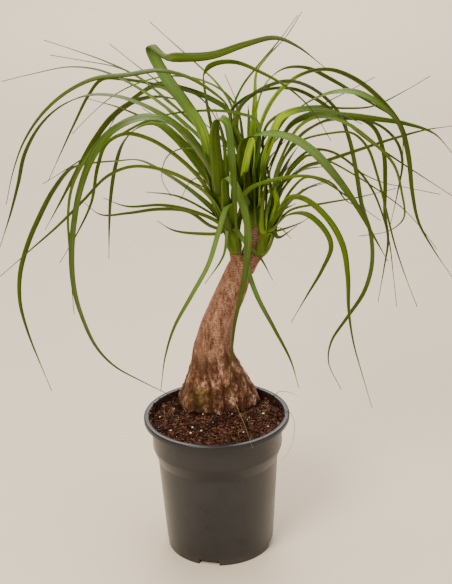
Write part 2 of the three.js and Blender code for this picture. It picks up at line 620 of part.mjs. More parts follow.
// Closest points of two straight steps, as the share along each and the way from one to the other.
function closest(a0, a1, b0, b1) {
  const u = a1.clone().sub(a0);
  const v = b1.clone().sub(b0);
  const w = a0.clone().sub(b0);
  const uu = u.dot(u);
  const uv = u.dot(v);
  const vv = v.dot(v);
  const spread = Math.max(uu * vv - uv * uv, 1e-6);
  let s = THREE.MathUtils.clamp((uv * v.dot(w) - vv * u.dot(w)) / spread, 0, 1);
  const t = THREE.MathUtils.clamp((s * uv + v.dot(w)) / vv, 0, 1);
  s = THREE.MathUtils.clamp((t * uv - u.dot(w)) / uu, 0, 1);
  return { s, t, apart: w.addScaledVector(u, s).addScaledVector(v, -t) };
}

// Room that a leaf takes up along a direction, half its width seen from there.
function reach(line, i, direction) {
  const { side } = line.sides[i];
  const t = i / (line.points.length - 1);
  return 0.5 * widthAt(line.width, t) * Math.abs(side.dot(direction));
}

// Pushes two leaves apart where they come too close, each point by its share.
function pushApart(first, second, moves) {
  for (let i = 0; i + 1 < first.points.length; i += 1) {
    for (let j = 0; j + 1 < second.points.length; j += 1) {
      const [a0, a1] = first.points.slice(i, i + 2);
      const [b0, b1] = second.points.slice(j, j + 2);
      if (a0.distanceTo(b0) > 3 * STEP_LENGTH) continue;
      const { s, t, apart } = closest(a0, a1, b0, b1);
      const distance = Math.max(apart.length(), 1e-3);
      const way = apart.divideScalar(distance);
      const needed = CLEARANCE + reach(first, i, way) + reach(second, j, way);
      if (distance >= needed) continue;
      const push = PUSH_SHARE * (needed - distance);
      moves.get(first)[i].addScaledVector(way, push * (1 - s));
      moves.get(first)[i + 1].addScaledVector(way, push * s);
      moves.get(second)[j].addScaledVector(way, -push * (1 - t));
      moves.get(second)[j + 1].addScaledVector(way, -push * t);
    }
  }
}

// Bends the leaves of different heads clear of each other, a little at a time. Roots stay put.
function clearHeads(heads) {
  const all = heads.flat();
  for (let round = 0; round < CLEARING_ROUNDS; round += 1) {
    all.forEach((line) => { line.sides = leafSides(line); });
    const moves = new Map(all.map((line) => [line, line.points.map(() => new THREE.Vector3())]));
    for (let a = 0; a < heads.length; a += 1) {
      for (let b = a + 1; b < heads.length; b += 1) {
        heads[a].forEach((first) => heads[b].forEach((second) => pushApart(first, second, moves)));
      }
    }
    all.forEach((line) => {
      const shift = moves.get(line);
      for (let i = 1; i < shift.length; i += 1) {
        line.points[i].add(shift[i]);
        if (i > 1) line.points[i].addScaledVector(shift[i - 1], SPREAD_SHARE);
        if (i + 1 < shift.length) line.points[i].addScaledVector(shift[i + 1], SPREAD_SHARE);
      }
    });
  }
}

// A blade with a flat upper face and a keel below the midrib.
function blade(line) {
  const sides = leafSides(line);
  const last = line.points.length - 1;
  return toSolid(loft(line.points.map((point, i) => {
    const width = widthAt(line.width, i / last);
    const keel = KEEL_AT_TIP + KEEL_PER_WIDTH * width;
    const { side, face } = sides[i];
    return [
      point.clone().addScaledVector(side, width / 2),
      point.clone().addScaledVector(side, -width / 2),
      point.clone().addScaledVector(face, -keel),
    ];
  })));
}

// Core and leaves in one body, without the slivers that are left where blades cross.
function headSolid(head, lines) {
  const whole = wasm.Manifold.union([headCore(head), ...lines.map(blade)]);
  return toGeometry(largestBody(whole.simplify(SLIVER)));
}

const headNames = Object.keys(HEADS);
const lines = headNames.map((name) => headLines(HEADS[name], LEAVES[name]));
clearHeads(lines);

const plant = new THREE.Group();
plant.add(piece('pot', pot(), COLOURS.pot, 0.5));
plant.add(piece('soil', soil(trunkBody(GAP)), COLOURS.soil, 1));
plant.add(piece('trunk', toGeometry(trunk()), COLOURS.trunk, 0.9));
headNames.forEach((name, i) => {
  plant.add(piece(`head_${name}`, headSolid(HEADS[name], lines[i]), COLOURS.head, 0.5));
});

export default plant;
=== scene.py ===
"""Looks of a potted ponytail palm: nursery pot, peat mix, swollen trunk and arching strap leaves.

Tables and shapes are in millimetres, with +Z up and -Y at the front; a mesh is made in metres.
"""
import math

import bpy
import numpy as np
from mathutils import Matrix


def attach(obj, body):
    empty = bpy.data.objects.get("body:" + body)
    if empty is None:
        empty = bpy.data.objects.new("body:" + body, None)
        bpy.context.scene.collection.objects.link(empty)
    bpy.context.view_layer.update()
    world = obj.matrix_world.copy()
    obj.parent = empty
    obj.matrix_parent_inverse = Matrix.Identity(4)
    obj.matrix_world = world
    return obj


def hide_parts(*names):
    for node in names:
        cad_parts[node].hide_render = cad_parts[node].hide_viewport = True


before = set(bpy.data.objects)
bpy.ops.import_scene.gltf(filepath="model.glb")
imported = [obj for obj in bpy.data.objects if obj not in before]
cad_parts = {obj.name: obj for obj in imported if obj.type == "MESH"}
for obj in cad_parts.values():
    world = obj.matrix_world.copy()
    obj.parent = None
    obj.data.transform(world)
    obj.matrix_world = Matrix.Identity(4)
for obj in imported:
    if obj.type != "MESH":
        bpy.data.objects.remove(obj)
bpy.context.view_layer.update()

MM = 0.001
TURN = 2 * math.pi

# Camera, as the photograph was taken
CAMERA_PLACE = (0.0187, -1.78, 1.11)
CAMERA_DOWN_DEG = 21.88
CAMERA_ROLL_DEG = 1.7
CAMERA_LENS = 85.0
CAMERA_SENSOR = 36.0

# Pot: a 21 cm nursery pot
POT_HEIGHT = 208
WALL = 1.6
LIP_RADIUS = 105
LIP_DEPTH = 7
LIP_INNER_RADIUS = 98.5
COLLAR_RADIUS = 93.8
COLLAR_TOP = 199
SHOULDER_TOP = 162
SHOULDER_BOTTOM = 143
BODY_TOP_RADIUS = 87
BODY_BOTTOM_RADIUS = 78.8
FOOT_RADIUS = 77.5
FOOT_HEIGHT = 12
FOOT_RING_INNER = 69
CHANNEL_HEIGHT = 5
CHANNEL_SLOPE = 4
MIDDLE_PAD_RADIUS = 25
NOTCH_WIDTH = 30
NOTCH_HEIGHT = 8
NOTCH_COUNT = 4
FIRST_NOTCH_DEG = -103
DRAIN_RADIUS = 6
DRAIN_RING_RADIUS = 48
DRAIN_COLUMNS = 24
POT_COLUMNS = 192
SHARP_DEG = 40

# Soil: each clod layer is [height, size, seed], and the hollow's place and width are shares of the
# trunk's radius
SOIL_EDGE_HEIGHT = 198.5
SOIL_MOUND = 4
SOIL_MOUND_REACH = 75
SOIL_LUMP = 0.9
SOIL_GAP = 0.3
SOIL_SIDE_GAP = 0.5
SOIL_RADIUS = COLLAR_RADIUS - WALL - SOIL_GAP
SOIL_COLUMNS = 240
SOIL_RINGS = 84
CLOD_LAYERS = [[1.5, 15, 31], [0.9, 5, 32]]
HOLLOW_DEPTH = 3.2
HOLLOW_PLACE = 1.08
HOLLOW_WIDTH = 0.12

# What lies on the soil, with the least and the most of each measure. How far it keeps from the
# trunk, and where the painted shade round the trunk ends, are shares of the trunk's radius too.
CRUMB_COUNT = 7200
CRUMB_SIZE = (0.45, 2.05)
LEDGE_COUNT = 620
TRUNK_CLEAR = 0.97
# Painted shade on the crumbs round the trunk: where it fades out and how dark it is
TRUNK_SHADE_REACH = (0.97, 1.3)
TRUNK_SHADE_STRENGTH = 0.9
CRUMB_SHADE = (-0.55, 1.0)
PERLITE_COUNT = 44
PERLITE_SIZE = (0.5, 2.1)
FIBRE_COUNT = 2400
FIBRE_POINTS = 6
FIBRE_LENGTH = (5, 19)
FIBRE_RADIUS = (0.1, 0.28)
FIBRE_CURL = 1.6
FIBRE_RISE = 3

# Trunk: [height, middle x, middle y, half width along x, half width along y]
TRUNK_STATIONS = np.array([
    [150, 4, 50, 40, 28],
    [175, 3, 50, 52, 34],
    [200, 2, 50, 58, 37],
    [216, 1, 49, 57, 37],
    [237, 1, 47, 48.5, 35.5],
    [255, 0, 45, 40.5, 33],
    [270, -1.5, 43, 34.5, 30],
    [286, -2.5, 41, 30, 28],
    [306, -1, 38, 26.5, 26],
    [338, 6, 33, 24, 24.5],
    [371, 20, 29, 23.5, 23.5],
    [403, 32, 25, 21, 22],
    [424, 40, 23, 19.5, 20],
    [434, 43, 22, 17, 16],
])
SOIL_LINE = 200
AT_SOIL_LINE = TRUNK_STATIONS[2]
SWELLING_TOP = 290
LOBE_DEPTH = 0.05
FURROW_DEPTH = 0.022
SWAY_DEPTH = 0.012
TRUNK_ROWS = 190
TRUNK_COLUMNS = 160
NECK_ROWS = 40
NECK_COLUMNS = 48
BARK_VOXEL = 1.0

# Small forms of the bark, with the heights between which they fade, and a patch of moss
SWELLING_FADE = (260, 310)
SCARS_FADE_IN = (385, 425)
CELL_TALLNESS = 2.3
CELL_WARP = 2.2
FINE_CELL = 4.2
COARSE_CELL = 8.5
CRACK_DEPTH = 0.3
SWELLING_CRACK_DEPTH = 0.8
WART_HEIGHT = 1.5
GROOVE_COUNT = 11
GROOVE_DEPTH = 2.4
GRAIN_DEPTH = 0.22
SCAR_SPACING = 3.4
SCAR_HEIGHT = 0.45
RING_SPACING = 5.2
RING_DEPTH = 0.16
MOSS_PLACE = (-22, 20, 222)
MOSS_REACH = 28

# Necks: [x, y, z, radius] from the fork up
NECKS = {
    "left": [[40, 22, 408, 13], [38, 20, 428, 11.5], [35, 18, 440, 9.5], [33, 17, 447, 8.5]],
    "middle": [[40, 24, 404, 12], [49, 26, 432, 14], [57, 29, 450, 12.5], [62, 31, 464, 12],
               [61, 32, 480, 10]],
    "right": [[50, 24, 414, 9], [57, 18, 430, 8], [64, 12, 441, 7.5], [70, 7, 448, 7.5]],
}

# Heads: the core is the bundle of young leaf bases that the leaves grow from, each up through a
# sheath that stands out from the axis. The core's shape is [share of its height, share of its
# radius], and its look is that of a leaf's foot: the share along the leaf, a chance number and youth
HEADS = {
    "left": {"base": (33, 17, 447), "lean": (-0.14, -0.05), "height": 78, "radius": 11,
             "sheath_out": 9.2, "facing": 165, "seed": 11},
    "middle": {"base": (61, 32, 480), "lean": (-0.06, 0.1), "height": 74, "radius": 12,
               "sheath_out": 9.6, "facing": 95, "seed": 23},
    "right": {"base": (70, 7, 448), "lean": (0.24, -0.04), "height": 66, "radius": 10,
              "sheath_out": 7.2, "facing": 5, "seed": 37},
}
CORE_SHAPE = np.array([[0, 0.74], [0.12, 1], [0.45, 0.95], [0.75, 0.6], [1, 0.25]])
CORE_ROWS = 24
CORE_COLUMNS = 30
CORE_RIDGE = 0.06
CORE_LOOK = [0.02, 0.3, 0.1]
LOWEST_ROOT = 0.1
HIGHEST_ROOT = 0.72
ROOT_OUT = 0.35
SHEATH_RISE = 26

# Blades, where a bright stretch fades in or out over twice the fade
STEP_LENGTH = 51
FEWEST_STEPS = 4
MOST_STEPS = 18
BEND_REACH = 30
BEND_SAMPLES = 400
TIP_WIDTH = 1.3
SHEATH_WIDENING = 0.35
SHEATH_SHARE = 0.22
TAPER_POWER = 2.6
FINE_STEPS = 72
FOLD = 0.075
SHEATH_FOLD = 0.2
SHEATH_FOLD_SHARE = 0.07
EDGE_THICKNESS = 0.3
RIB_THICKNESS = 0.8
THREAD_WIDTH = 1.0
RIPPLE = 0.03
FADE = 22
# Places round a blade's section, from one edge over the upper face and back under: how far across
# from the midrib, and whether underneath
UPPER_FACE = [1, 0.72, 0.4, 0.12, -0.12, -0.4, -0.72, -1]
UNDERSIDE = [-0.6, -0.2, 0.2, 0.6]
SECTION = np.array([[x, 0] for x in UPPER_FACE] + [[x, 1] for x in UNDERSIDE])

# Leaves, oldest and lowest first in each head:
# [width, twist in degrees at the root and at the tip, then points along the middle of the leaf]
LEAVES = {
    "left": [
        [7, 50, 100, [5, 10, 476], [-28, 0, 486], [-58, -10, 494], [-72, -10, 506]],
        [8, 40, 110, [7, 30, 478], [-28, 35, 502], [-70, 40, 506], [-155, 55, 496], [-176, 60, 512]],
        [7, 40, 80, [13, 10, 492], [-46, 5, 521], [-121, 0, 526], [-143, -5, 539]],
        [6, -10, -20, [20, -5, 459], [-10, -20, 416]],
        [8, 10, 40, [48, -25, 475], [69, -30, 452], [83, -30, 422]],
        [10, 20, 0, [29, -10, 528], [19, -35, 524], [0, -60, 468], [-59, -70, 359], [-75, -70, 281]],
        [9, 0, 80, [-2, -10, 541], [-61, -30, 584], [-118, -50, 591], [-186, -80, 537],
         [-272, -120, 474]],
        [12, -20, 100, [-13, 25, 526], [-103, 45, 579], [-142, 45, 572], [-176, 50, 572],
         [-204, 55, 551], [-267, 65, 435], [-279, 65, 374], [-272, 65, 318], [-243, 60, 222]],
        [13, 80, 280, [5, 45, 537], [-62, 80, 614], [-83, 90, 615], [-119, 105, 586], [-142, 110, 507],
         [-151, 110, 408]],
        [9, 20, 90, [-12, 5, 559], [-63, -5, 611], [-102, -10, 629], [-126, -15, 623], [-140, -15, 608],
         [-160, -25, 533], [-205, -30, 457]],
        [8, 40, 100, [4, 30, 561], [-51, 50, 627], [-78, 55, 630], [-139, 70, 652], [-164, 75, 657]],
        [7, 30, 90, [-5, 35, 576], [-53, 50, 626], [-75, 55, 629], [-237, 100, 529]],
        [17, -10, -70, [5, -15, 574], [-39, -50, 646], [-65, -60, 662], [-112, -80, 658],
         [-146, -90, 621], [-170, -90, 558], [-183, -85, 460], [-173, -75, 388], [-146, -60, 323],
         [-61, -40, 256]],
        [9, 10, -110, [5, -10, 568], [-63, -30, 657], [-119, -40, 647], [-179, -45, 570],
         [-189, -45, 481], [-189, -45, 387]],
        [15, 0, 120, [5, 40, 574], [-29, 60, 649], [-53, 65, 658], [-97, 75, 652], [-139, 85, 620],
         [-239, 100, 460]],
        [16, -90, 70, [2, 5, 573], [-41, 0, 636], [-112, -15, 680], [-163, -25, 684], [-210, -25, 656],
         [-245, -30, 600], [-254, -30, 562], [-284, -30, 482]],
        [13, -80, -40, [29, 40, 608], [30, 50, 639], [-57, 90, 670], [-78, 100, 664], [-132, 120, 617],
         [-143, 125, 596]],
        [7, -20, 20, [10, 30, 578], [-47, 40, 643], [-122, 50, 693], [-175, 50, 707], [-275, 50, 690]],
        [4, 0, -10, [12, 40, 577], [-26, 60, 629], [-48, 70, 645], [-101, 90, 687], [-215, 115, 710]],
        [9, 50, -40, [10, 40, 572], [-56, 65, 670], [-79, 70, 671], [-108, 75, 653]],
        [14, 10, 0, [30, 15, 609], [31, 10, 646], [-7, -15, 694], [-51, -35, 717], [-95, -55, 718],
         [-147, -70, 715], [-198, -80, 685], [-237, -85, 633], [-261, -85, 560]],
        [9, 60, 140, [22, 45, 586], [15, 55, 623], [-4, 65, 652], [-28, 75, 666], [-57, 85, 669],
         [-136, 105, 677], [-151, 110, 671], [-182, 120, 622], [-233, 130, 524]],
        [5, 10, -10, [13, 45, 573], [-4, 60, 602], [-92, 115, 673], [-144, 135, 696], [-228, 160, 722]],
        [4, 0, -20, [15, 55, 573], [-40, 100, 648], [-65, 115, 665], [-135, 150, 716]],
        [3, -30, -100, [8, 0, 582], [-10, -5, 602], [-46, -10, 603], [-59, -10, 586], [-62, -10, 560],
         [-51, -10, 540]],
        [13, 30, 60, [22, -20, 529], [23, -35, 573], [31, -45, 571], [50, -60, 513], [46, -60, 452],
         [28, -40, 355], [20, -30, 261]],
        [17, -20, 160, [14, -25, 558], [14, -55, 658], [24, -60, 657], [36, -70, 492], [40, -70, 465]],
        [18, -50, -170, [5, 0, 579], [-12, 5, 640], [-41, 10, 680], [-65, 15, 721], [-70, 10, 740],
         [-50, -10, 730], [-31, -20, 731], [-6, -30, 731], [77, -65, 760], [101, -75, 761],
         [152, -90, 725]],
        [9, 20, 60, [18, 25, 564], [9, 25, 607], [-2, 10, 699], [4, 0, 712], [35, -20, 723],
         [122, -65, 683], [158, -80, 631]],
    ],
    "middle": [
        [8, -10, 0, [45, -10, 531], [49, -20, 548], [120, -50, 576], [159, -60, 569], [185, -60, 539],
         [205, -65, 534]],
        [11, -80, -10, [50, -20, 533], [49, -40, 472], [51, -45, 434], [106, -70, 315],
         [115, -70, 278]],
        [18, 30, 170, [47, 15, 581], [50, 10, 604], [62, 0, 617], [115, -35, 619], [171, -65, 571],
         [234, -75, 462]],
        [13, -70, -120, [51, 25, 549], [36, 25, 620], [39, 25, 644], [82, 20, 680], [124, 10, 686],
         [178, 0, 643], [193, -10, 597], [204, -15, 526], [218, -15, 477], [219, -15, 430],
         [207, -10, 387], [168, 0, 321], [160, 0, 291], [179, -5, 242]],
        [9, 120, 100, [54, 30, 569], [41, 30, 611], [31, 30, 638], [40, 30, 654], [79, 40, 670],
         [127, 50, 665], [233, 65, 580], [344, 85, 498]],
        [13, 40, -20, [66, 25, 570], [68, 30, 604], [83, 30, 649], [112, 30, 683], [150, 30, 698],
         [192, 30, 688], [260, 30, 619], [283, 30, 500], [294, 30, 467], [338, 30, 396]],
        [15, -60, 90, [78, 25, 570], [85, 20, 599], [112, 10, 645], [188, -15, 679], [251, -30, 637],
         [257, -30, 591]],
        [10, 100, -30, [64, 30, 589], [71, 40, 660], [95, 50, 692], [135, 70, 692], [156, 75, 682],
         [286, 135, 589]],
        [4, 10, 20, [73, 45, 571], [120, 65, 617], [237, 130, 662]],
        [3, -10, -30, [46, 60, 610], [42, 80, 640], [26, 100, 679]],
        [4, -20, -50, [44, 50, 585], [38, 60, 627], [27, 75, 656], [-77, 165, 742]],
        [4, 20, -30, [50, 45, 586], [35, 50, 655], [-21, 55, 687], [-76, 60, 684], [-132, 75, 657],
         [-190, 95, 602]],
        [6, 100, 180, [73, -5, 613], [69, -5, 638], [42, -5, 652], [-2, 15, 652], [-74, 40, 641],
         [-87, 40, 650]],
        [5, 20, -20, [49, 45, 586], [37, 55, 646], [104, 130, 719], [130, 145, 749]],
        [12, 20, 170, [61, 40, 573], [65, 40, 639], [71, 70, 692], [106, 105, 720], [135, 130, 756]],
        [14, -100, -220, [48, 5, 562], [60, -20, 619], [62, -25, 605], [58, -25, 570]],
    ],
    "right": [
        [8, -30, -100, [92, 10, 470], [119, 5, 488]],
        [6, -30, -90, [88, 5, 480], [115, 0, 494], [128, -5, 495], [134, -10, 504]],
        [11, 20, 90, [83, 0, 492], [96, -10, 515], [116, -20, 528]],
        [11, 120, 300, [87, 0, 487], [98, -5, 503], [127, -20, 514], [157, -30, 488], [162, -35, 470],
         [108, -20, 355]],
        [5, -60, -110, [92, 15, 491], [107, 20, 504], [194, 35, 514], [258, 40, 526]],
        [10, -20, -210, [91, 0, 502], [115, -10, 535], [151, -25, 516], [179, -35, 468],
         [189, -40, 349], [218, -50, 234]],
        [5, -50, -110, [100, 10, 519], [128, 10, 554], [150, 10, 551], [231, -10, 497]],
        [4, -110, -170, [89, 20, 521], [120, 35, 568], [138, 40, 577], [272, 80, 484], [327, 100, 412]],
        [3, -70, -110, [97, 25, 534], [137, 50, 575], [157, 60, 578], [190, 75, 561], [224, 90, 528],
         [334, 130, 486]],
        [9, -60, -100, [92, 20, 521], [128, 35, 560], [160, 50, 565], [293, 90, 592], [346, 115, 592]],
        [5, -100, -90, [93, 25, 526], [125, 40, 576], [149, 45, 584], [174, 50, 576], [216, 55, 538],
         [247, 60, 465], [265, 60, 340]],
        [7, -50, -110, [88, 10, 539], [114, 5, 601], [156, -5, 618], [179, -10, 622], [198, -10, 615],
         [213, -15, 598], [254, -25, 451], [281, -30, 377]],
        [10, -60, -120, [90, 20, 542], [119, 25, 603], [168, 30, 630], [217, 30, 624], [238, 30, 584],
         [242, 30, 491], [247, 30, 461], [234, 30, 361]],
        [10, -70, -100, [88, 40, 543], [127, 60, 602], [162, 70, 616], [229, 85, 609], [265, 95, 577],
         [274, 100, 549], [258, 95, 453]],
        [6, 20, 60, [87, 5, 547], [129, -10, 638], [171, -30, 645], [241, -50, 590], [249, -55, 565],
         [257, -60, 522], [246, -60, 504], [198, -40, 486]],
        [13, 60, 230, [83, 20, 557], [119, 20, 632], [207, 10, 636], [300, 0, 615], [326, -5, 588]],
        [6, 80, 160, [74, 30, 560], [74, 40, 611], [101, 50, 634], [141, 65, 639], [225, 80, 632],
         [310, 100, 668]],
        [13, 10, -190, [74, 5, 555], [71, 0, 584], [81, -5, 629], [111, -15, 654], [173, -40, 656],
         [201, -50, 643]],
        [11, 50, 140, [78, 15, 559], [78, 10, 595], [110, 0, 647], [147, -10, 657]],
    ],
}

# Bright stretches of young leaves, with painted light through them: [how bright, and how far from
# the root it starts and ends]. The numbers count from 0 through a head's leaves, then its filling
# leaves and its narrow ones.
NOT_BRIGHT = [0, 0, 0]
YOUNG_AND_LIT = {
    "left": {14: [0.5, 100, 190], 18: [0.4, 0, 160], 19: [0.2, 0, 160], 23: [0.5, 0, 160],
             27: [0.4, 75, 130], 40: [0.9, 0, 200], 41: [0.9, 0, 200]},
    "middle": {3: [0.3, 0, 150], 4: [0.3, 0, 150], 5: [0.9, 105, 205], 7: [0.6, 105, 190],
               14: [1, 85, 205], 15: [0.95, 45, 165], 20: [0.6, 0, 60], 25: [0.4, 0, 90],
               26: [1, 60, 110]},
    "right": {5: [0.15, 0, 120], 10: [0.3, 0, 120], 15: [0.5, 0, 90], 16: [0.4, 0, 80],
              17: [1, 85, 175], 18: [0.7, 0, 70], 22: [0.5, 0, 70], 24: [0.5, 0, 70],
              26: [0.3, 0, 90], 28: [1, 0, 95]},
}

# Leaves that turn over at a fold, with the same numbers: [shares of the length where the turn
# starts and ends, and its degrees]
NO_FOLD = [0, 1, 0]
FOLDED = {"left": {27: [0.56, 0.64, 90], 28: [0.4, 0.55, 60]}}

# Narrow leaves among the others, too slight to change the crown, in rows like those of the leaves
NARROW = {
    "left": [
        [9, 60, 60, [42, 14, 500], [46, 16, 530], [53, 18, 566]],
        [8, 40, 80, [41, 24, 500], [48, 30, 528], [60, 34, 562]],
        [8, 10, -30, [24, 6, 492], [16, -2, 530], [12, -6, 565]],
        [6, 20, 60, [35, 8, 495], [43, 4, 519], [47, 2, 545], [48, 4, 575], [43, 8, 599]],
        [8, 10, 50, [24, 4, 528], [23, 2, 557], [23, 2, 592], [20, 4, 626], [11, 8, 655]],
        [5, 40, 60, [6, 20, 538], [-1, 22, 566], [-11, 25, 598], [-23, 28, 621],
         [-39, 30, 636]],
        [5, 40, 70, [4, 10, 541], [-5, 10, 577], [-14, 12, 608], [-33, 15, 633],
         [-53, 18, 652]],
        [3, 0, 90, [6, -5, 524], [-1, -12, 548], [-11, -18, 567], [-22, -22, 566],
         [-31, -24, 553], [-39, -24, 539]],
    ],
    "middle": [
        [8, 0, 50, [54, 22, 504], [46, 14, 527], [37, 8, 560], [31, 6, 595], [20, 4, 623]],
        [7, 20, -20, [51, 24, 498], [45, 18, 514], [42, 12, 539], [44, 8, 571], [51, 4, 600]],
        [7, 0, 40, [74, 24, 503], [83, 20, 527], [95, 16, 553], [112, 12, 577]],
        [7, 0, 60, [66, 26, 511], [72, 24, 534], [81, 22, 566], [99, 18, 600],
         [122, 14, 623]],
        [9, 0, 40, [68, 26, 512], [69, 20, 543], [74, 14, 580], [72, 8, 607],
         [65, 4, 627]],
    ],
    "right": [
        [9, 20, 60, [80, 0, 480], [90, -2, 502], [106, -6, 526], [126, -12, 546]],
        [10, 0, 30, [71, -3, 484], [72, -6, 515], [75, -8, 548], [84, -10, 582]],
        [9, 0, -40, [65, 0, 484], [62, -2, 515], [60, -4, 550], [58, -6, 592]],
        [10, 60, 90, [76, 0, 476], [77, -6, 508], [82, -10, 536], [94, -14, 563],
         [111, -18, 583]],
    ],
}

# Dry threads that have dropped from the leaves: [thickness, how pale, then points along it]; the
# last one runs from the tip of a leaf that hangs before the trunk down to the lip
DRY_THREADS = [
    [1.0, 0, [84, 50, 205], [92, 54, 212], [106, 55, 211], [122, 60, 201]],
    [0.9, 0, [99, -2, 207], [104, -6, 209.5], [110, -10, 200], [111, -15, 181], [104, -20, 156],
     [91, -30, 143]],
    [0.8, 1, LEAVES["left"][25][-1], [27, -40, 243], [38, -66, 225], [46, -94, 210], [49, -107, 206]],
]

# Filling leaves of each head, from the outer ones to the inner ones
FILL_COUNT = 6
GOLDEN_SHARE = (math.sqrt(5) - 1) / 2
FILL_SPREAD_DEG = 150
FILL_LENGTH = (140, 115)
FILL_LENGTH_SHARE = (0.8, 1.2)
FILL_LEAN_DEG = (32, 6)
FILL_LEAN_EXTRA_DEG = 10
FILL_DROOP_DEG = (35, 15)
FILL_DROOP_EXTRA_DEG = 15
FILL_TWIST_DEG = 30
FILL_WIDTH = (9, 12)
FILL_POINTS = 3

# Leaves of two heads that meet are bent clear of each other. The reaches are in steps of a leaf.
CLEARANCE = 2.2
CLEARING_ROUNDS = 60
PUSH_SHARE = 0.3
SPREAD_SHARE = 0.3
PAIR_REACH = 3.5
PUSH_REACH = 3

# Stage, in metres: each light is [name, place, what it faces, side of its square, watts, colour],
# and the last one lights the floor behind the plant
FLOOR_REACH = 12.0
SKY_STRENGTH = 0.45
LIGHTS = [
    ["key", (-1.0, -1.5, 2.1), (0, 0, 0.4), 1.0, 66, (1.0, 0.92, 0.8)],
    ["fill", (1.7, -1.3, 1.3), (0, 0, 0.35), 1.8, 13, (1.0, 0.93, 0.84)],
    ["top", (0.2, 0.4, 2.3), (0, 0, 0.4), 1.4, 30, (1.0, 0.94, 0.85)],
    ["back", (0, 4.4, 3.4), (0, 4.5, 0), 3.0, 230, (1.0, 0.94, 0.85)],
]


def mix(low, high, share):
    """From low to high by a share, and beyond them by one outside 0 to 1."""
    return low + (high - low) * share


def unit(vectors):
    """Vectors brought to a length of 1."""
    return vectors / np.maximum(np.linalg.norm(vectors, axis=-1, keepdims=True), 1e-12)


def smoothstep(low, high, values):
    """0 below low, 1 above high, and 3t^2 - 2t^3 of the share t between them."""
    t = np.clip((values - low) / (high - low), 0, 1)
    return t * t * (3 - 2 * t)


def lattice_hash(corner, seed):
    """A whole number below 2^32 for each lattice corner, made by mixing its three indices' bits."""
    index = corner.astype(np.int64).astype(np.uint64)
    mixed = index[:, 0] * np.uint64(73856093)
    mixed ^= index[:, 1] * np.uint64(19349663)
    mixed ^= index[:, 2] * np.uint64(83492791)
    mixed ^= np.uint64(seed * 2654435761 % 2**32)
    mixed = (mixed ^ (mixed >> np.uint64(15))) * np.uint64(2246822519)
    mixed = (mixed ^ (mixed >> np.uint64(13))) * np.uint64(3266489917)
    return (mixed >> np.uint64(16)) & np.uint64(0xFFFFFFFF)


def lattice_draws(corner, seed, count):
    """Numbers from 0 to 1 for each lattice corner, one column for each of count."""
    columns = [lattice_hash(corner, seed + k) for k in range(count)]
    return np.stack(columns, axis=1) / float(2**32)


def value_noise(points, spacing, seed):
    """Smooth noise from -1 to 1: random values at the corners of a cubic lattice, blended inside
    each cube by the smoothstep of the place in it."""
    place = points / spacing
    corner = np.floor(place)
    part = place - corner
    part = part * part * (3 - 2 * part)
    total = np.zeros(len(points))
    for offset in np.ndindex(2, 2, 2):
        weight = np.prod(np.where(np.array(offset) == 1, part, 1 - part), axis=1)
        total += weight * lattice_draws(corner + offset, seed, 1)[:, 0]
    return 2 * total - 1


def cloud_noise(points, spacing, seed, layers=3):
    """Value noises added up, each with half the spacing and half the strength of the last."""
    return sum(value_noise(points, spacing / 2**k, seed + 10 * k) / 2**k for k in range(layers))


def cell_edges(points, spacing, seed):
    """How far each point is from the border of its cell, 0 on the border: a cell is what lies
    nearest to one jittered point of a cubic lattice, and the value is the distance to the second
    nearest such point less that to the nearest, as a share of the spacing."""
    place = points / spacing
    corner = np.floor(place)
    nearest = np.full(len(points), 9.0)
    second = np.full(len(points), 9.0)
    for offset in np.ndindex(3, 3, 3):
        cell = corner + (np.array(offset) - 1)
        away = np.linalg.norm(cell + lattice_draws(cell, seed, 3) - place, axis=1)
        second = np.minimum(second, np.maximum(nearest, away))
        nearest = np.minimum(nearest, away)
    return second - nearest


def turns(count):
    """Angles spread evenly over a full turn."""
    return np.arange(count) / count * TURN


def polar(radius, turn):
    """Level places at a distance from the middle and at an angle."""
    return np.column_stack([radius * np.cos(turn), radius * np.sin(turn)])


def ring_faces(rings, columns):
    """Quads between successive rings of points, and a flat face over each end."""
    row = np.arange(rings - 1)[:, None] * columns
    column = np.arange(columns)[None, :]
    following = (column + 1) % columns
    quads = np.stack([row + column, row + following, row + columns + following,
                      row + columns + column], axis=-1).reshape(-1, 4)
    last = (rings - 1) * columns
    return quads.tolist() + [list(range(columns - 1, -1, -1)), list(range(last, last + columns))]


def tube(middle, radius):
    """Level rings about a row of middles, with a row of radii for each ring."""
    turn = turns(radius.shape[1])
    rim = np.stack([np.cos(turn), np.sin(turn), np.zeros(len(turn))], axis=1)
    grid = np.asarray(middle, float)[:, None] + radius[..., None] * rim
    return grid.reshape(-1, 3), ring_faces(*radius.shape)


def joined(shapes):
    """Several shapes, each of points and faces, as one."""
    points, faces = [], []
    count = 0
    for shape_points, shape_faces in shapes:
        points.append(shape_points)
        faces += [[i + count for i in face] for face in shape_faces]
        count += len(shape_points)
    return np.vstack(points), faces


def mesh_of(name, points, faces):
    """A smooth-shaded mesh in metres from points in millimetres."""
    mesh = bpy.data.meshes.new(name)
    mesh.from_pydata((np.asarray(points) * MM).tolist(), [], faces)
    mesh.shade_smooth()
    mesh.update()
    return mesh


def placed(name, data):
    """A new object with some data, linked into the scene."""
    made = bpy.data.objects.new(name, data)
    bpy.context.scene.collection.objects.link(made)
    return made


def piece_of(name, mesh, material, stands_for=()):
    """An object of the plant: it rides on the one body and takes its finish from a slot."""
    mesh.materials.clear()
    mesh.materials.append(material)
    piece = placed(name, mesh)
    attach(piece, "root")
    if stands_for:
        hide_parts(*stands_for)
    return piece


def store(mesh, name, values):
    """Keeps numbers on the points of a mesh, where its material reads them by name."""
    values = np.asarray(values, np.float32)
    kind = "FLOAT_VECTOR" if values.ndim == 2 else "FLOAT"
    field = "vector" if values.ndim == 2 else "value"
    mesh.attributes.new(name, kind, "POINT").data.foreach_set(field, values.ravel())


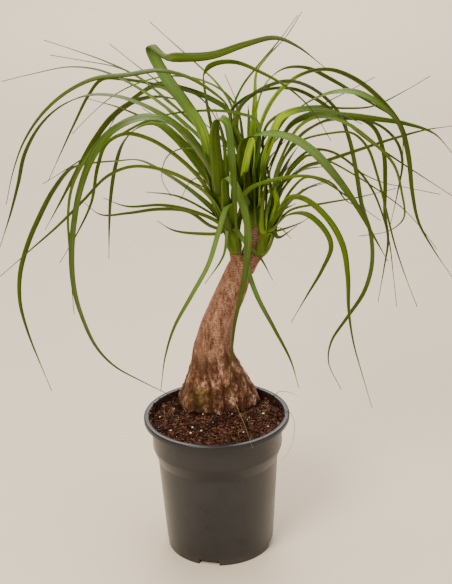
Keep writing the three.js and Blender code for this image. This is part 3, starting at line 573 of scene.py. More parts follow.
def applied(mesh, *modifiers):
    """The mesh after modifiers, each given as its kind and its settings."""
    holder = placed("holder", mesh)
    for kind, settings in modifiers:
        modifier = holder.modifiers.new(kind, kind)
        for key, value in settings.items():
            setattr(modifier, key, value)
    graph = bpy.context.evaluated_depsgraph_get()
    result = bpy.data.meshes.new_from_object(holder.evaluated_get(graph))
    result.name = mesh.name
    bpy.data.objects.remove(holder)
    return result


def points_of(mesh, field="co"):
    """The places of a mesh's points, or its normals there."""
    values = np.zeros(len(mesh.vertices) * 3, np.float32)
    if field == "normal":
        mesh.vertex_normals.foreach_get("vector", values)
    else:
        mesh.vertices.foreach_get(field, values)
    return values.reshape(-1, 3).astype(float)


class Finish:
    """A material in the making. Sockets take plain values or the outputs of other nodes."""

    def __init__(self, name, **sockets):
        self.material = bpy.data.materials.new(name)
        self.material.use_nodes = True
        self.tree = self.material.node_tree
        self.shader = self.tree.nodes["Principled BSDF"]
        self.place = self.add("TexCoord", output="Object")
        self.give(self.shader, {key.replace("_", " "): value for key, value in sockets.items()})

    def give(self, node, sockets):
        """Links or sets each named input of a node."""
        for key, value in sockets.items():
            if isinstance(value, bpy.types.NodeSocket):
                self.tree.links.new(value, node.inputs[key])
            else:
                node.inputs[key].default_value = value

    def add(self, kind, sockets=None, output=0, **settings):
        """A new node with its inputs and settings; the result is one of its outputs."""
        node = self.tree.nodes.new("ShaderNode" + kind)
        for key, value in settings.items():
            setattr(node, key, value)
        self.give(node, sockets or {})
        return node.outputs[output]

    def stored(self, name, output="Fac"):
        """Numbers that the mesh keeps on its points."""
        return self.add("Attribute", output=output, attribute_name=name)

    def stored_parts(self, name):
        """The three numbers that the mesh keeps on each point under one name."""
        parts = self.add("SeparateXYZ", {0: self.stored(name, "Vector")}, "X").node.outputs
        return parts["X"], parts["Y"], parts["Z"]

    def noise(self, size, detail, place=None, roughness=0.55):
        """Noise with blotches of about the given size in millimetres."""
        sockets = {"Vector": place or self.place, "Scale": 1 / (size * MM), "Detail": detail,
                   "Roughness": roughness}
        return self.add("TexNoise", sockets)

    def cells(self, size):
        """Distance from the middle of the nearest cell, for cells of a size in millimetres."""
        return self.add("TexVoronoi", {"Vector": self.place, "Scale": 1 / (size * MM)}, "Distance")

    def stretched(self, scale):
        """The place with each axis scaled."""
        return self.add("Mapping", {"Vector": self.place, "Scale": scale})

    def maths(self, operation, first, second=0.0, clamp=False):
        return self.add("Math", {0: first, 1: second}, operation=operation, use_clamp=clamp)

    def times(self, first, second, clamp=False):
        return self.maths("MULTIPLY", first, second, clamp)

    def span(self, value, low, high, to_low=0.0, to_high=1.0):
        """The value moved from one range to another, smoothly and without leaving it."""
        sockets = {"Value": value, "From Min": low, "From Max": high, "To Min": to_low,
                   "To Max": to_high}
        return self.add("MapRange", sockets, interpolation_type="SMOOTHSTEP")

    def by_height(self, low, high, to_low=0.0, to_high=1.0):
        """A span over the height above the floor, in millimetres."""
        height = self.add("SeparateXYZ", {0: self.place}, "Z")
        return self.span(height, low * MM, high * MM, to_low, to_high)

    def blend(self, share, first, second, mode="MIX"):
        return self.add("Mix", {0: share, 6: first, 7: second}, 2, data_type="RGBA", blend_type=mode)

    def ramp(self, share, *stops):
        """Colours along a share, as (place, colour) pairs."""
        output = self.add("ValToRGB", {"Fac": share})
        line = output.node.color_ramp
        while len(line.elements) < len(stops):
            line.elements.new(0.5)
        for element, (place, colour) in zip(line.elements, stops):
            element.position = place
            element.color = colour
        return output

    def surface(self, colour, roughness=None, height=None, depth=1.0):
        """Links colour and roughness, and raises the surface by a height from 0 to 1, with the
        depth in millimetres."""
        self.give(self.shader, {"Base Color": colour})
        if roughness:
            self.give(self.shader, {"Roughness": roughness})
        if height:
            bump = self.add("Bump", {"Height": height, "Distance": depth * MM, "Strength": 1.0})
            self.give(self.shader, {"Normal": bump})
        return self.material


def tone(red, green, blue):
    """An opaque colour."""
    return (red, green, blue, 1.0)


# Pot


def pot_plastic():
    """Charcoal polypropylene: a fine moulded grain, painted shade on the lip and shoulder, a painted
    bluish sheen on the top of the lip, dust near the floor, and peat dried on to the inside above the
    soil, darkened further as painted shade."""
    finish = Finish("pot_plastic", Specular_IOR_Level=0.36)
    level = finish.add("VectorMath", {0: finish.place, 1: (1, 1, 0)}, operation="MULTIPLY")
    away = finish.add("VectorMath", {0: level}, "Value", operation="LENGTH")
    blotches = finish.noise(30, 5)
    colour = finish.ramp(blotches, (0.3, tone(0.016, 0.016, 0.0185)),
                         (0.7, tone(0.023, 0.023, 0.026)))
    # Painted shade on the shoulder band and the lip.
    shoulder = finish.times(finish.by_height(SHOULDER_BOTTOM - 5, SHOULDER_BOTTOM + 4),
                            finish.by_height(SHOULDER_TOP + 6, SHOULDER_TOP - 4))
    lip_foot = POT_HEIGHT - LIP_DEPTH - 1
    lip = finish.by_height(lip_foot - 0.5, lip_foot + 0.5)
    painted_band_shade = finish.times(finish.maths("MAXIMUM", shoulder, lip), 0.7)
    colour = finish.blend(painted_band_shade, colour, tone(0.005, 0.005, 0.008))
    # Painted sheen: the top of the lip is made bluish.
    lip_top_sheen = finish.by_height(POT_HEIGHT - 1.8, POT_HEIGHT - 0.2, 0, 0.8)
    colour = finish.blend(lip_top_sheen, colour, tone(0.012, 0.0145, 0.024))
    dust = finish.times(finish.by_height(20, 0, 0, 0.5), blotches)
    colour = finish.blend(dust, colour, tone(0.1, 0.075, 0.05))
    # Peat dried on to the inside wall, darkened further as painted shade.
    within = finish.times(finish.span(away, LIP_INNER_RADIUS * MM, (LIP_INNER_RADIUS - 3) * MM),
                          finish.by_height(COLLAR_TOP - 1, COLLAR_TOP + 1))
    peat_and_shade_inside = finish.times(within, finish.span(finish.noise(5, 6), 0.3, 0.5, 0.55, 1))
    colour = finish.blend(peat_and_shade_inside, colour, tone(0.016, 0.0055, 0.002))
    roughness = finish.span(blotches, 0.3, 0.7, 0.27, 0.35)
    return finish.surface(colour, roughness, finish.noise(0.8, 2), 0.02)


def rounded(corners, steps=5):
    """A profile with its corners rounded: each [radius, height, rounding] is cut back by its
    rounding along both sides, and bridged by a quadratic curve with the corner as its middle."""
    points = np.array([corner[:2] for corner in corners], float)
    result = [points[:1]]
    share = np.linspace(0, 1, steps)[:, None]
    for i in range(1, len(points) - 1):
        middle = points[i]
        before = middle + unit(points[i - 1] - middle) * corners[i][2]
        after = middle + unit(points[i + 1] - middle) * corners[i][2]
        result.append((1 - share) ** 2 * before + 2 * share * (1 - share) * middle + share**2 * after)
    result.append(points[-1:])
    return np.vstack(result)


def pot_inside(z):
    """Inside radius: the outside less the wall, straight between the foot, shoulder and collar."""
    heights = [FOOT_HEIGHT, SHOULDER_BOTTOM, SHOULDER_TOP, COLLAR_TOP]
    radii = [BODY_BOTTOM_RADIUS, BODY_TOP_RADIUS, COLLAR_RADIUS, COLLAR_RADIUS]
    return float(np.interp(z, heights, radii)) - WALL


def pot_profile():
    """From the middle of the underside, up the outside, over the rolled lip and down the inside."""
    return rounded([
        [0, 0, 0],
        [MIDDLE_PAD_RADIUS, 0, 0.8],
        [MIDDLE_PAD_RADIUS + CHANNEL_SLOPE, CHANNEL_HEIGHT, 0.8],
        [FOOT_RING_INNER - CHANNEL_SLOPE, CHANNEL_HEIGHT, 0.8],
        [FOOT_RING_INNER, 0, 0.8],
        [FOOT_RADIUS, 0, 1.4],
        [FOOT_RADIUS, FOOT_HEIGHT, 0.3],
        [BODY_BOTTOM_RADIUS, FOOT_HEIGHT + 1, 0.5],
        [BODY_TOP_RADIUS, SHOULDER_BOTTOM, 2.5],
        [COLLAR_RADIUS, SHOULDER_TOP, 2.5],
        [COLLAR_RADIUS, COLLAR_TOP, 1.2],
        [LIP_INNER_RADIUS, POT_HEIGHT - WALL, 0.8],
        [LIP_RADIUS - WALL, POT_HEIGHT - WALL, 0.5],
        [LIP_RADIUS - WALL, POT_HEIGHT - LIP_DEPTH, 0.4],
        [LIP_RADIUS, POT_HEIGHT - LIP_DEPTH, 0.5],
        [LIP_RADIUS, POT_HEIGHT, 2.0],
        [LIP_INNER_RADIUS - WALL / 2, POT_HEIGHT, 1.6],
        [pot_inside(COLLAR_TOP), COLLAR_TOP - WALL / 2, 1.5],
        [pot_inside(SHOULDER_TOP), SHOULDER_TOP, 2.0],
        [pot_inside(SHOULDER_BOTTOM), SHOULDER_BOTTOM, 2.0],
        [pot_inside(FOOT_HEIGHT), FOOT_HEIGHT, 1.0],
        [FOOT_RING_INNER - WALL, CHANNEL_HEIGHT + WALL, 1.0],
        [MIDDLE_PAD_RADIUS + CHANNEL_SLOPE, CHANNEL_HEIGHT + WALL, 1.0],
        [MIDDLE_PAD_RADIUS - WALL, WALL, 1.0],
        [0, WALL, 0],
    ])


def turned(profile, columns):
    """A profile of radius and height carried round Z; its two ends lie on the axis, where each
    becomes one point with a fan of triangles."""
    inner = profile[1:-1]
    middle = np.column_stack([np.zeros((len(inner), 2)), inner[:, 1]])
    rings, faces = tube(middle, np.repeat(inner[:, :1], columns, axis=1))
    points = np.vstack([rings, [[0, 0, profile[0, 1]], [0, 0, profile[-1, 1]]]])
    count = len(rings)
    last = count - columns
    column = np.arange(columns)
    following = (column + 1) % columns
    start_fan = np.stack([np.full(columns, count), following, column], axis=1)
    end_fan = np.stack([np.full(columns, count + 1), last + column, last + following], axis=1)
    return points, faces[:-2] + start_fan.tolist() + end_fan.tolist()


def box_corners(size, middle, turn):
    """The eight corners of a box of a size, moved to a middle and turned round Z."""
    corners = (np.array(list(np.ndindex(2, 2, 2))) - 0.5) * size + middle
    c, s = math.cos(turn), math.sin(turn)
    return corners @ np.array([[c, s, 0], [-s, c, 0], [0, 0, 1]])


BOX_FACES = [[0, 1, 3, 2], [4, 6, 7, 5], [0, 4, 5, 1], [2, 3, 7, 6], [0, 2, 6, 4], [1, 5, 7, 3]]


def pot_cutters():
    """Notches through the foot ring and the round drains beside them."""
    notch_depth = 2 * (FOOT_RADIUS - FOOT_RING_INNER + CHANNEL_SLOPE)
    shapes = []
    for turn in math.radians(FIRST_NOTCH_DEG) + turns(NOTCH_COUNT):
        notch = box_corners((notch_depth, NOTCH_WIDTH, 2 * NOTCH_HEIGHT), (FOOT_RADIUS, 0, 0), turn)
        shapes.append((notch, BOX_FACES))
        x, y = DRAIN_RING_RADIUS * np.array([math.cos(turn), math.sin(turn)])
        ends = [[x, y, -CHANNEL_HEIGHT], [x, y, 3 * CHANNEL_HEIGHT]]
        shapes.append(tube(ends, np.full((2, DRAIN_COLUMNS), DRAIN_RADIUS)))
    return mesh_of("pot_cutters", *joined(shapes))


def make_pot():
    """The turned shell, with the notches and drains cut out of it."""
    cutter = placed("cutter", pot_cutters())
    shell = mesh_of("nursery_pot", *turned(pot_profile(), POT_COLUMNS))
    settings = {"operation": "DIFFERENCE", "object": cutter, "solver": "EXACT"}
    mesh = applied(shell, ("BOOLEAN", settings))
    bpy.data.objects.remove(cutter)
    mesh.set_sharp_from_angle(angle=math.radians(SHARP_DEG))
    piece_of("nursery_pot", mesh, pot_plastic(), ["pot"])


# Trunk


def cubic(t, start, start_slope, end, end_slope):
    """The cubic of t from a start to an end that has the given slopes there."""
    return (start * (2 * t**3 - 3 * t**2 + 1) + start_slope * (t**3 - 2 * t**2 + t)
            + end * (3 * t**2 - 2 * t**3) + end_slope * (t**3 - t**2))


def station_curve(stations, place):
    """Cubics through rows of [place, values], each row with the slope between its neighbours."""
    at = stations[:, 0]
    index = np.arange(len(at))
    ahead = np.minimum(index + 1, len(at) - 1)
    behind = np.maximum(index - 1, 0)
    slope = (stations[ahead] - stations[behind]) / (at[ahead] - at[behind])[:, None]
    i = np.clip(np.searchsorted(at, place, side="right") - 1, 0, len(at) - 2)
    span = (at[i + 1] - at[i])[:, None]
    t = (np.asarray(place) - at[i])[:, None] / span
    return cubic(t, stations[i], slope[i] * span, stations[i + 1], slope[i + 1] * span)


def bark_relief(turn, z):
    """Lobes and furrows of the swollen base as a factor on its radius: cosines round the trunk
    that fade out up to the top of the swelling, and a slight sway all the way up."""
    fade = np.clip((SWELLING_TOP - z) / (SWELLING_TOP - SOIL_LINE), 0, 1)
    lobes = np.cos(3 * turn + 0.7) + 0.6 * np.cos(5 * turn - 1.1)
    furrows = np.sin(9 * turn + z * 0.02)
    sway = np.sin(4 * turn + z * 0.07)
    return 1 + fade * (LOBE_DEPTH * lobes + FURROW_DEPTH * furrows) + SWAY_DEPTH * sway


def trunk_body():
    """Ellipses along the trunk's stations, with the lobes as a factor on their radius."""
    z = np.linspace(TRUNK_STATIONS[0, 0], TRUNK_STATIONS[-1, 0], TRUNK_ROWS)
    at = station_curve(TRUNK_STATIONS, z)
    turn = turns(TRUNK_COLUMNS)[None, :]
    relief = bark_relief(turn, z[:, None])
    x = at[:, 1:2] + at[:, 3:4] * relief * np.cos(turn)
    y = at[:, 2:3] + at[:, 4:5] * relief * np.sin(turn)
    grid = np.stack([x, y, np.repeat(z[:, None], TRUNK_COLUMNS, axis=1)], axis=-1)
    return grid.reshape(-1, 3), ring_faces(TRUNK_ROWS, TRUNK_COLUMNS)


def catmull_rom(points, share):
    """Centripetal Catmull-Rom curve: cubics whose slopes come from the neighbours, with the
    square root of each chord as its time. The line runs on straight beyond its ends."""
    padded = np.vstack([2 * points[0] - points[1], points, 2 * points[-1] - points[-2]])
    place = np.clip(share, 0, 1) * (len(points) - 1)
    i = np.minimum(place.astype(int), len(points) - 2)
    p0, p1, p2, p3 = (padded[i + k] for k in range(4))
    d0, d1, d2 = (np.linalg.norm(b - a, axis=1)[:, None] ** 0.5
                  for a, b in ((p0, p1), (p1, p2), (p2, p3)))
    slope_in = d1 * ((p1 - p0) / d0 - (p2 - p0) / (d0 + d1) + (p2 - p1) / d1)
    slope_out = d1 * ((p2 - p1) / d1 - (p3 - p1) / (d1 + d2) + (p3 - p2) / d2)
    return cubic((place - i)[:, None], p1, slope_in, p2, slope_out)


def bend_table(points, bend_reach=0.0):
    """Shares along the curve and the length up to each, to which a bend adds its angle times the
    reach."""
    share = np.linspace(0, 1, BEND_SAMPLES + 1)
    steps = np.diff(catmull_rom(points, share), axis=0)
    way = unit(steps)
    bend = np.arccos(np.clip(np.sum(way[1:] * way[:-1], axis=1), -1, 1))
    added = np.linalg.norm(steps, axis=1) + bend_reach * np.concatenate([[0], bend])
    return share, np.concatenate([[0], np.cumsum(added)])


def spaced(points, steps):
    """Points on the curve, closer together where it bends."""
    share, length = bend_table(points, BEND_REACH)
    return catmull_rom(points, np.interp(np.linspace(0, length[-1], steps + 1), length, share))


def neck_shape(stations):
    """Level rings along a neck's curve."""
    stations = np.array(stations, float)
    share = np.linspace(0, 1, NECK_ROWS)
    radius = np.interp(share * (len(stations) - 1), np.arange(len(stations)), stations[:, 3])
    middle = catmull_rom(stations[:, :3], share)
    return tube(middle, np.repeat(radius[:, None], NECK_COLUMNS, axis=1))


def bark_details(points):
    """Depth in millimetres of the bark's small forms at each point, with what its colour needs:
    cracks round upright cells, finer above and coarser on the swelling, warts and dark grooves
    down the swelling, close rings of leaf scars below the heads, and faint rings in between."""
    z = points[:, 2]
    at = station_curve(TRUNK_STATIONS, np.clip(z, TRUNK_STATIONS[0, 0], TRUNK_STATIONS[-1, 0]))
    across = points[:, :2] - at[:, 1:3]
    turn = np.arctan2(across[:, 1], across[:, 0])
    low = 1 - smoothstep(*SWELLING_FADE, z + 26 * cloud_noise(points, 40, 3))
    high = smoothstep(*SCARS_FADE_IN, z)
    upright = np.column_stack([points[:, :2], z / CELL_TALLNESS])
    warp = np.column_stack([value_noise(points, 6, seed) for seed in (4, 5, 6)])
    warped = upright + CELL_WARP * warp
    fine = cell_edges(warped, FINE_CELL, 7)
    coarse = cell_edges(warped * [1, 1, 1.5], COARSE_CELL, 8)
    patchy = smoothstep(-0.25, 0.35, cloud_noise(points, 22, 24))
    crack = np.maximum(0.5 * patchy * np.exp(-((fine / 0.11) ** 2)) * (1 - high),
                       0.8 * low * patchy * np.exp(-((coarse / 0.14) ** 2)))
    warts = cloud_noise(points * [1, 1, 0.8], 9, 12)
    groove_turn = GROOVE_COUNT * turn + 1.5 * cloud_noise(points, 30, 15) + z * 0.015
    groove = np.clip(np.sin(groove_turn), 0, 1) ** 3
    waver = 1.1 * cloud_noise(points, 16, 18)
    scars = np.cos(z / SCAR_SPACING * TURN + waver)
    rings = np.clip(np.cos(z / RING_SPACING * TURN + 2.5 * waver) * (1 - low), 0, 1) ** 4
    depth = SCAR_HEIGHT * high * np.clip(scars, -1, 0.4)
    depth -= (CRACK_DEPTH + SWELLING_CRACK_DEPTH * low) * crack
    depth += low * (WART_HEIGHT * warts - GROOVE_DEPTH * groove)
    depth += GRAIN_DEPTH * cloud_noise(points, 5, 21) - RING_DEPTH * rings
    rim = 0.7 * high * np.clip(-scars, 0, 1) + 0.3 * (1 - high) * rings
    return depth, np.clip(crack + rim + 0.9 * low * groove, 0, 1), low, np.cos(turn)


def bark():
    """Pinkish brown skin in upright streaks, with painted shade on its left and right flanks, redder on
    the left and greyer on the right, with tan flakes on the swelling, a stain of moss and of soil near
    the foot, and dark cracks, speckles and fissures over all."""
    finish = Finish("bark", Specular_IOR_Level=0.12)
    streaks = finish.noise(9, 7, finish.stretched((1, 1, 0.35)), 0.8)
    skin = finish.ramp(streaks, (0.36, tone(0.11, 0.045, 0.022)), (0.46, tone(0.3, 0.15, 0.092)),
                       (0.56, tone(0.47, 0.265, 0.168)), (0.66, tone(0.66, 0.41, 0.27)))
    flakes = finish.noise(13, 7, finish.stretched((1, 1, 0.6)), 0.75)
    rough = finish.ramp(flakes, (0.38, tone(0.018, 0.008, 0.003)), (0.48, tone(0.13, 0.055, 0.022)),
                        (0.56, tone(0.42, 0.22, 0.13)), (0.65, tone(0.95, 0.62, 0.45)))
    facing = finish.stored("facing")
    # Painted shade on the trunk's left and right flanks: redder on the left, greyer on the right.
    skin = finish.blend(finish.span(facing, -0.3, -0.95, 0, 0.5), skin, tone(0.25, 0.088, 0.04))
    skin = finish.blend(finish.span(facing, 0.2, 0.9, 0, 0.6), skin, tone(0.19, 0.085, 0.06))
    colour = finish.blend(finish.times(finish.stored("low"), 0.9), skin, rough)
    moss_middle = tuple(part * MM for part in MOSS_PLACE)
    from_moss = finish.add("VectorMath", {0: finish.place, 1: moss_middle}, "Value",
                           operation="DISTANCE")
    moss = finish.span(from_moss, MOSS_REACH * MM, 0.006)
    moss = finish.times(moss, finish.noise(6, 5), True)
    colour = finish.blend(moss, colour, tone(0.17, 0.16, 0.015))
    peat_stain = finish.times(finish.by_height(SOIL_LINE + 25, SOIL_LINE - 2),
                              finish.span(flakes, 0.62, 0.4))
    colour = finish.blend(finish.times(peat_stain, 0.8), colour, tone(0.06, 0.028, 0.015))
    cracks = finish.times(finish.stored("crack"), 0.8)
    colour = finish.blend(cracks, colour, tone(0.06, 0.023, 0.01))
    wrinkles = finish.noise(3.6, 5, finish.stretched((1, 1, 3.2)), 0.7)
    speckles = finish.span(wrinkles, 0.47, 0.58, 0, 0.72)
    colour = finish.blend(speckles, colour, tone(0.12, 0.05, 0.027))
    splits = finish.noise(3.4, 6, finish.stretched((1, 1, 0.3)), 0.8)
    fissures = finish.span(splits, 0.53, 0.6, 0, 0.85)
    colour = finish.blend(fissures, colour, tone(0.055, 0.021, 0.01))
    return finish.surface(colour, None, wrinkles, 0.7)


def make_trunk():
    """The trunk and its three necks, made one by a voxel grid, smoothed, then given its bark."""
    shapes = [trunk_body()] + [neck_shape(stations) for stations in NECKS.values()]
    whole = mesh_of("trunk_bark", *joined(shapes))
    mesh = applied(whole, ("REMESH", {"mode": "VOXEL", "voxel_size": BARK_VOXEL * MM}),
                   ("SMOOTH", {"factor": 0.5, "iterations": 6}))
    points = points_of(mesh) / MM
    depth, *colouring = bark_details(points)
    points += points_of(mesh, "normal") * depth[:, None]
    mesh.vertices.foreach_set("co", (points * MM).astype(np.float32).ravel())
    mesh.shade_smooth()
    for name, values in zip(("crack", "low", "facing"), colouring):
        store(mesh, name, values)
    mesh.update()
    piece_of("trunk_bark", mesh, bark(), ["trunk"])


# Soil


def peat(name, dark, middle, light):
    """Damp peat: blotches from nearly black to reddish brown, with every crumb a shade of its own."""
    finish = Finish(name, Specular_IOR_Level=0.08, Roughness=0.95)
    blotches = finish.noise(3.2, 6, roughness=0.7)
    share = finish.maths("ADD", blotches, finish.times(finish.stored("shade"), 0.35))
    share = finish.maths("ADD", share, finish.span(finish.noise(26, 2), 0.35, 0.65, -0.09, 0.07))
    colour = finish.ramp(share, (0.38, dark), (0.58, middle), (0.85, light))
    return finish.surface(colour, None, finish.noise(1.1, 4), 0.8)


def soil_height(x, y):
    """A mound round the trunk as a bell curve, with lumps from products and sums of sines."""
    trunk_x, trunk_y = AT_SOIL_LINE[1:3]
    away = np.hypot(x - trunk_x, y - trunk_y) / SOIL_MOUND_REACH
    waves = np.sin(x * 0.11 + 1) * np.cos(y * 0.13) + np.sin(x * 0.23 - y * 0.19)
    return SOIL_EDGE_HEIGHT + SOIL_MOUND * np.exp(-away * away) + SOIL_LUMP * waves


def fine_soil_height(x, y):
    """The mound with clods of several sizes, and a hollow where the soil has drawn back from the
    trunk."""
    flat = np.column_stack([x, y, np.zeros(len(x))])
    clods = sum(height * cloud_noise(flat, size, seed) for height, size, seed in CLOD_LAYERS)
    from_rim = (trunk_reach(x, y) - HOLLOW_PLACE) / HOLLOW_WIDTH
    return soil_height(x, y) + clods - HOLLOW_DEPTH * np.exp(-(from_rim**2))


def trunk_reach(x, y):
    """Distance from the trunk's middle at the soil line, as a share of its radius that way."""
    middle_x, middle_y, half_x, half_y = AT_SOIL_LINE[1:]
    x, y = (x - middle_x) / half_x, (y - middle_y) / half_y
    return np.hypot(x, y) / bark_relief(np.arctan2(y, x), np.full(len(x), float(SOIL_LINE)))


def make_soil_bed():
    """Rings from the edge to the middle, raised to the fine soil height, on a plain block that
    fills the pot."""
    floor_top = CHANNEL_HEIGHT + WALL + SOIL_GAP
    sides = [[0, floor_top], [FOOT_RING_INNER - 2 * WALL, floor_top]]
    for z in (FOOT_HEIGHT + WALL, SHOULDER_BOTTOM, SHOULDER_TOP):
        sides.append([pot_inside(z) - SOIL_SIDE_GAP, z])
    top = np.linspace(SOIL_RADIUS, 0, SOIL_RINGS)
    profile = np.vstack([sides, np.column_stack([top, np.full(SOIL_RINGS, SOIL_LINE)])])
    points, faces = turned(profile, SOIL_COLUMNS)
    raised = points[:, 2] >= SOIL_LINE
    points[raised, 2] = fine_soil_height(points[raised, 0], points[raised, 1])
    mesh = mesh_of("soil_bed", points, faces)
    store(mesh, "shade", np.zeros(len(points)))
    finish = peat("peat", tone(0.004, 0.0016, 0.0008), tone(0.028, 0.0095, 0.0045),
                  tone(0.1, 0.042, 0.022))
    piece_of("soil_bed", mesh, finish, ["soil"])


def soil_places(draws, count, rim):
    """Places spread evenly over the soil, clear of the trunk and of the pot's wall."""
    radius = (SOIL_RADIUS - rim) * np.sqrt(draws.random(3 * count))
    places = polar(radius, draws.random(3 * count) * TURN)
    return places[trunk_reach(*places.T) > TRUNK_CLEAR][:count]


ICO = (1 + math.sqrt(5)) / 2
LUMP_POINTS = unit(np.array([[-1, ICO, 0], [1, ICO, 0], [-1, -ICO, 0], [1, -ICO, 0], [0, -1, ICO],
                             [0, 1, ICO], [0, -1, -ICO], [0, 1, -ICO], [ICO, 0, -1], [ICO, 0, 1],
                             [-ICO, 0, -1], [-ICO, 0, 1]]))
LUMP_FACES = np.array([[0, 11, 5], [0, 5, 1], [0, 1, 7], [0, 7, 10], [0, 10, 11], [1, 5, 9],
                       [5, 11, 4], [11, 10, 2], [10, 7, 6], [7, 1, 8], [3, 9, 4], [3, 4, 2],
                       [3, 2, 6], [3, 6, 8], [3, 8, 9], [4, 9, 5], [2, 4, 11], [6, 2, 10],
                       [8, 6, 7], [9, 8, 1]])


def lumps(draws, places, sizes, flatness, sink):
    """A twenty-sided lump at each place, its corners pushed in and out at random, flattened and
    sunk by a share of its size."""
    count = len(places)
    x, y = places.T
    on_slope = np.hypot(x, y) > pot_inside(COLLAR_TOP)
    z = np.where(on_slope, ledge_height(x, y), fine_soil_height(x, y)) + sizes * sink
    middle = np.column_stack([places, z])
    reach = sizes[:, None] * draws.uniform(0.65, 1.3, (count, len(LUMP_POINTS)))
    shape = LUMP_POINTS[None] * reach[:, :, None]
    shape *= np.stack([draws.uniform(0.7, 1.4, count), draws.uniform(0.7, 1.4, count),
                       np.full(count, flatness)], axis=1)[:, None]
    points = (middle[:, None] + shape).reshape(-1, 3)
    faces = LUMP_FACES[None] + (np.arange(count) * len(LUMP_POINTS))[:, None, None]
    return points, faces.reshape(-1, 3).tolist()


def ledge_height(x, y):
    """The inner slope of the pot between its collar and its lip."""
    low, high = pot_inside(COLLAR_TOP), LIP_INNER_RADIUS - WALL / 2
    return np.interp(np.hypot(x, y), [low, high], [COLLAR_TOP, POT_HEIGHT])


def make_crumbs():
    """Crumbs all over the soil, with painted shade on those round the trunk, and peat that has caught
    on the slope below the lip."""
    draws = np.random.default_rng(41)
    places = soil_places(draws, CRUMB_COUNT, 0.5)
    radius = mix(pot_inside(COLLAR_TOP), LIP_INNER_RADIUS, draws.random(LEDGE_COUNT) ** 2)
    places = np.vstack([places, polar(radius, draws.random(LEDGE_COUNT) * TURN)])
    sizes = mix(*CRUMB_SIZE, draws.random(len(places)) ** 3)
    points, faces = lumps(draws, places, sizes, 0.75, 0.15)
    mesh = mesh_of("peat_crumbs", points, faces)
    mesh.shade_flat()
    # Painted shade: crumbs near the trunk are darkened.
    trunk_shade = TRUNK_SHADE_STRENGTH * (1 - smoothstep(*TRUNK_SHADE_REACH, trunk_reach(*places.T)))
    shade = draws.uniform(*CRUMB_SHADE, len(places)) - trunk_shade
    store(mesh, "shade", np.repeat(shade, len(LUMP_POINTS)))
    finish = peat("crumbs", tone(0.006, 0.002, 0.001), tone(0.038, 0.013, 0.007),
                  tone(0.22, 0.1, 0.06))
    piece_of("peat_crumbs", mesh, finish)


def perlite_white():
    """Puffed glass, stained by the peat and finely pitted."""
    finish = Finish("perlite_white", Specular_IOR_Level=0.3, Roughness=0.9)
    colour = finish.ramp(finish.noise(1.8, 3), (0.3, tone(0.55, 0.44, 0.34)),
                         (0.5, tone(0.95, 0.9, 0.8)))
    return finish.surface(colour, None, finish.cells(0.7), 0.25)


def make_perlite():
    """White grains of puffed glass all over the soil, most of them small."""
    draws = np.random.default_rng(43)
    places = soil_places(draws, PERLITE_COUNT, 6)
    sizes = mix(*PERLITE_SIZE, draws.random(len(places)) ** 2.5)
    points, faces = lumps(draws, places, sizes, 0.85, 0.6)
    mesh = applied(mesh_of("perlite", points, faces), ("SUBSURF", {"levels": 1, "render_levels": 1}))
    piece_of("perlite", mesh, perlite_white())


def strand(points, radius, sides=4):
    """A thin tube along points: at each a small regular polygon across the way that it runs, its
    radius shrinking to the tip by the square root of what is left."""
    along = unit(np.gradient(points, axis=0))
    side = unit(np.cross(along, [0.31, 0.17, 0.94]))
    over = np.cross(along, side)
    turn = turns(sides)[None, :, None]
    left = np.sqrt(np.linspace(1, 0.08, len(points)))[:, None, None] * radius
    rim = np.cos(turn) * side[:, None] + np.sin(turn) * over[:, None]
    return (points[:, None] + left * rim).reshape(-1, 3), ring_faces(len(points), sides)


def fibre_brown():
    """Brown of a shade for each fibre, a few of them pale."""
    finish = Finish("fibre_brown", Specular_IOR_Level=0.25, Roughness=0.85)
    colour = finish.ramp(finish.stored("shade"), (0.0, tone(0.014, 0.0045, 0.002)),
                         (0.65, tone(0.075, 0.026, 0.012)), (0.9, tone(0.22, 0.11, 0.06)),
                         (1.0, tone(0.6, 0.38, 0.24)))
    return finish.surface(colour)


def shaded_strands(name, strands, shades, material):
    """Strands as one piece, which keeps a shade for each."""
    mesh = mesh_of(name, *joined(strands))
    counts = [len(points) for points, _ in strands]
    store(mesh, "shade", np.repeat(shades, counts))
    piece_of(name, mesh, material)


def make_fibres():
    """Threads of peat and bark that curl over the clods: short arcs that rise a little at one
    end."""
    draws = np.random.default_rng(47)
    share = np.linspace(0, 1, FIBRE_POINTS)[:, None]
    strands, shades = [], []
    for place in soil_places(draws, FIBRE_COUNT, 4):
        length = draws.uniform(*FIBRE_LENGTH)
        heading = draws.uniform(0, TURN) + draws.uniform(-FIBRE_CURL, FIBRE_CURL) * share
        steps = np.hstack([np.cos(heading), np.sin(heading)]) * length / FIBRE_POINTS
        path = np.cumsum(steps, axis=0) + place
        path *= np.minimum(1, (SOIL_RADIUS - 1) / np.linalg.norm(path, axis=1))[:, None]
        rise = draws.uniform(0, FIBRE_RISE) * share[:, 0] ** 2
        z = fine_soil_height(path[:, 0], path[:, 1]) + 0.5 + rise
        strands.append(strand(np.column_stack([path, z]), draws.uniform(*FIBRE_RADIUS)))
        shades.append(draws.random())
    shaded_strands("peat_fibres", strands, shades, fibre_brown())


# Leaves


def head_axis(head, rise):
    """A point on the axis of a head, at a height above its base."""
    x, y, z = head["base"]
    return np.array([x + head["lean"][0] * rise, y + head["lean"][1] * rise, z + rise])


def seeded_draw(seed):
    """A repeatable run of numbers from 0 to 1: each state is the last times 1664525 plus
    1013904223, in 32 bits."""
    state = seed
    while True:
        state = (state * 1664525 + 1013904223) % 2**32
        yield state / 2**32


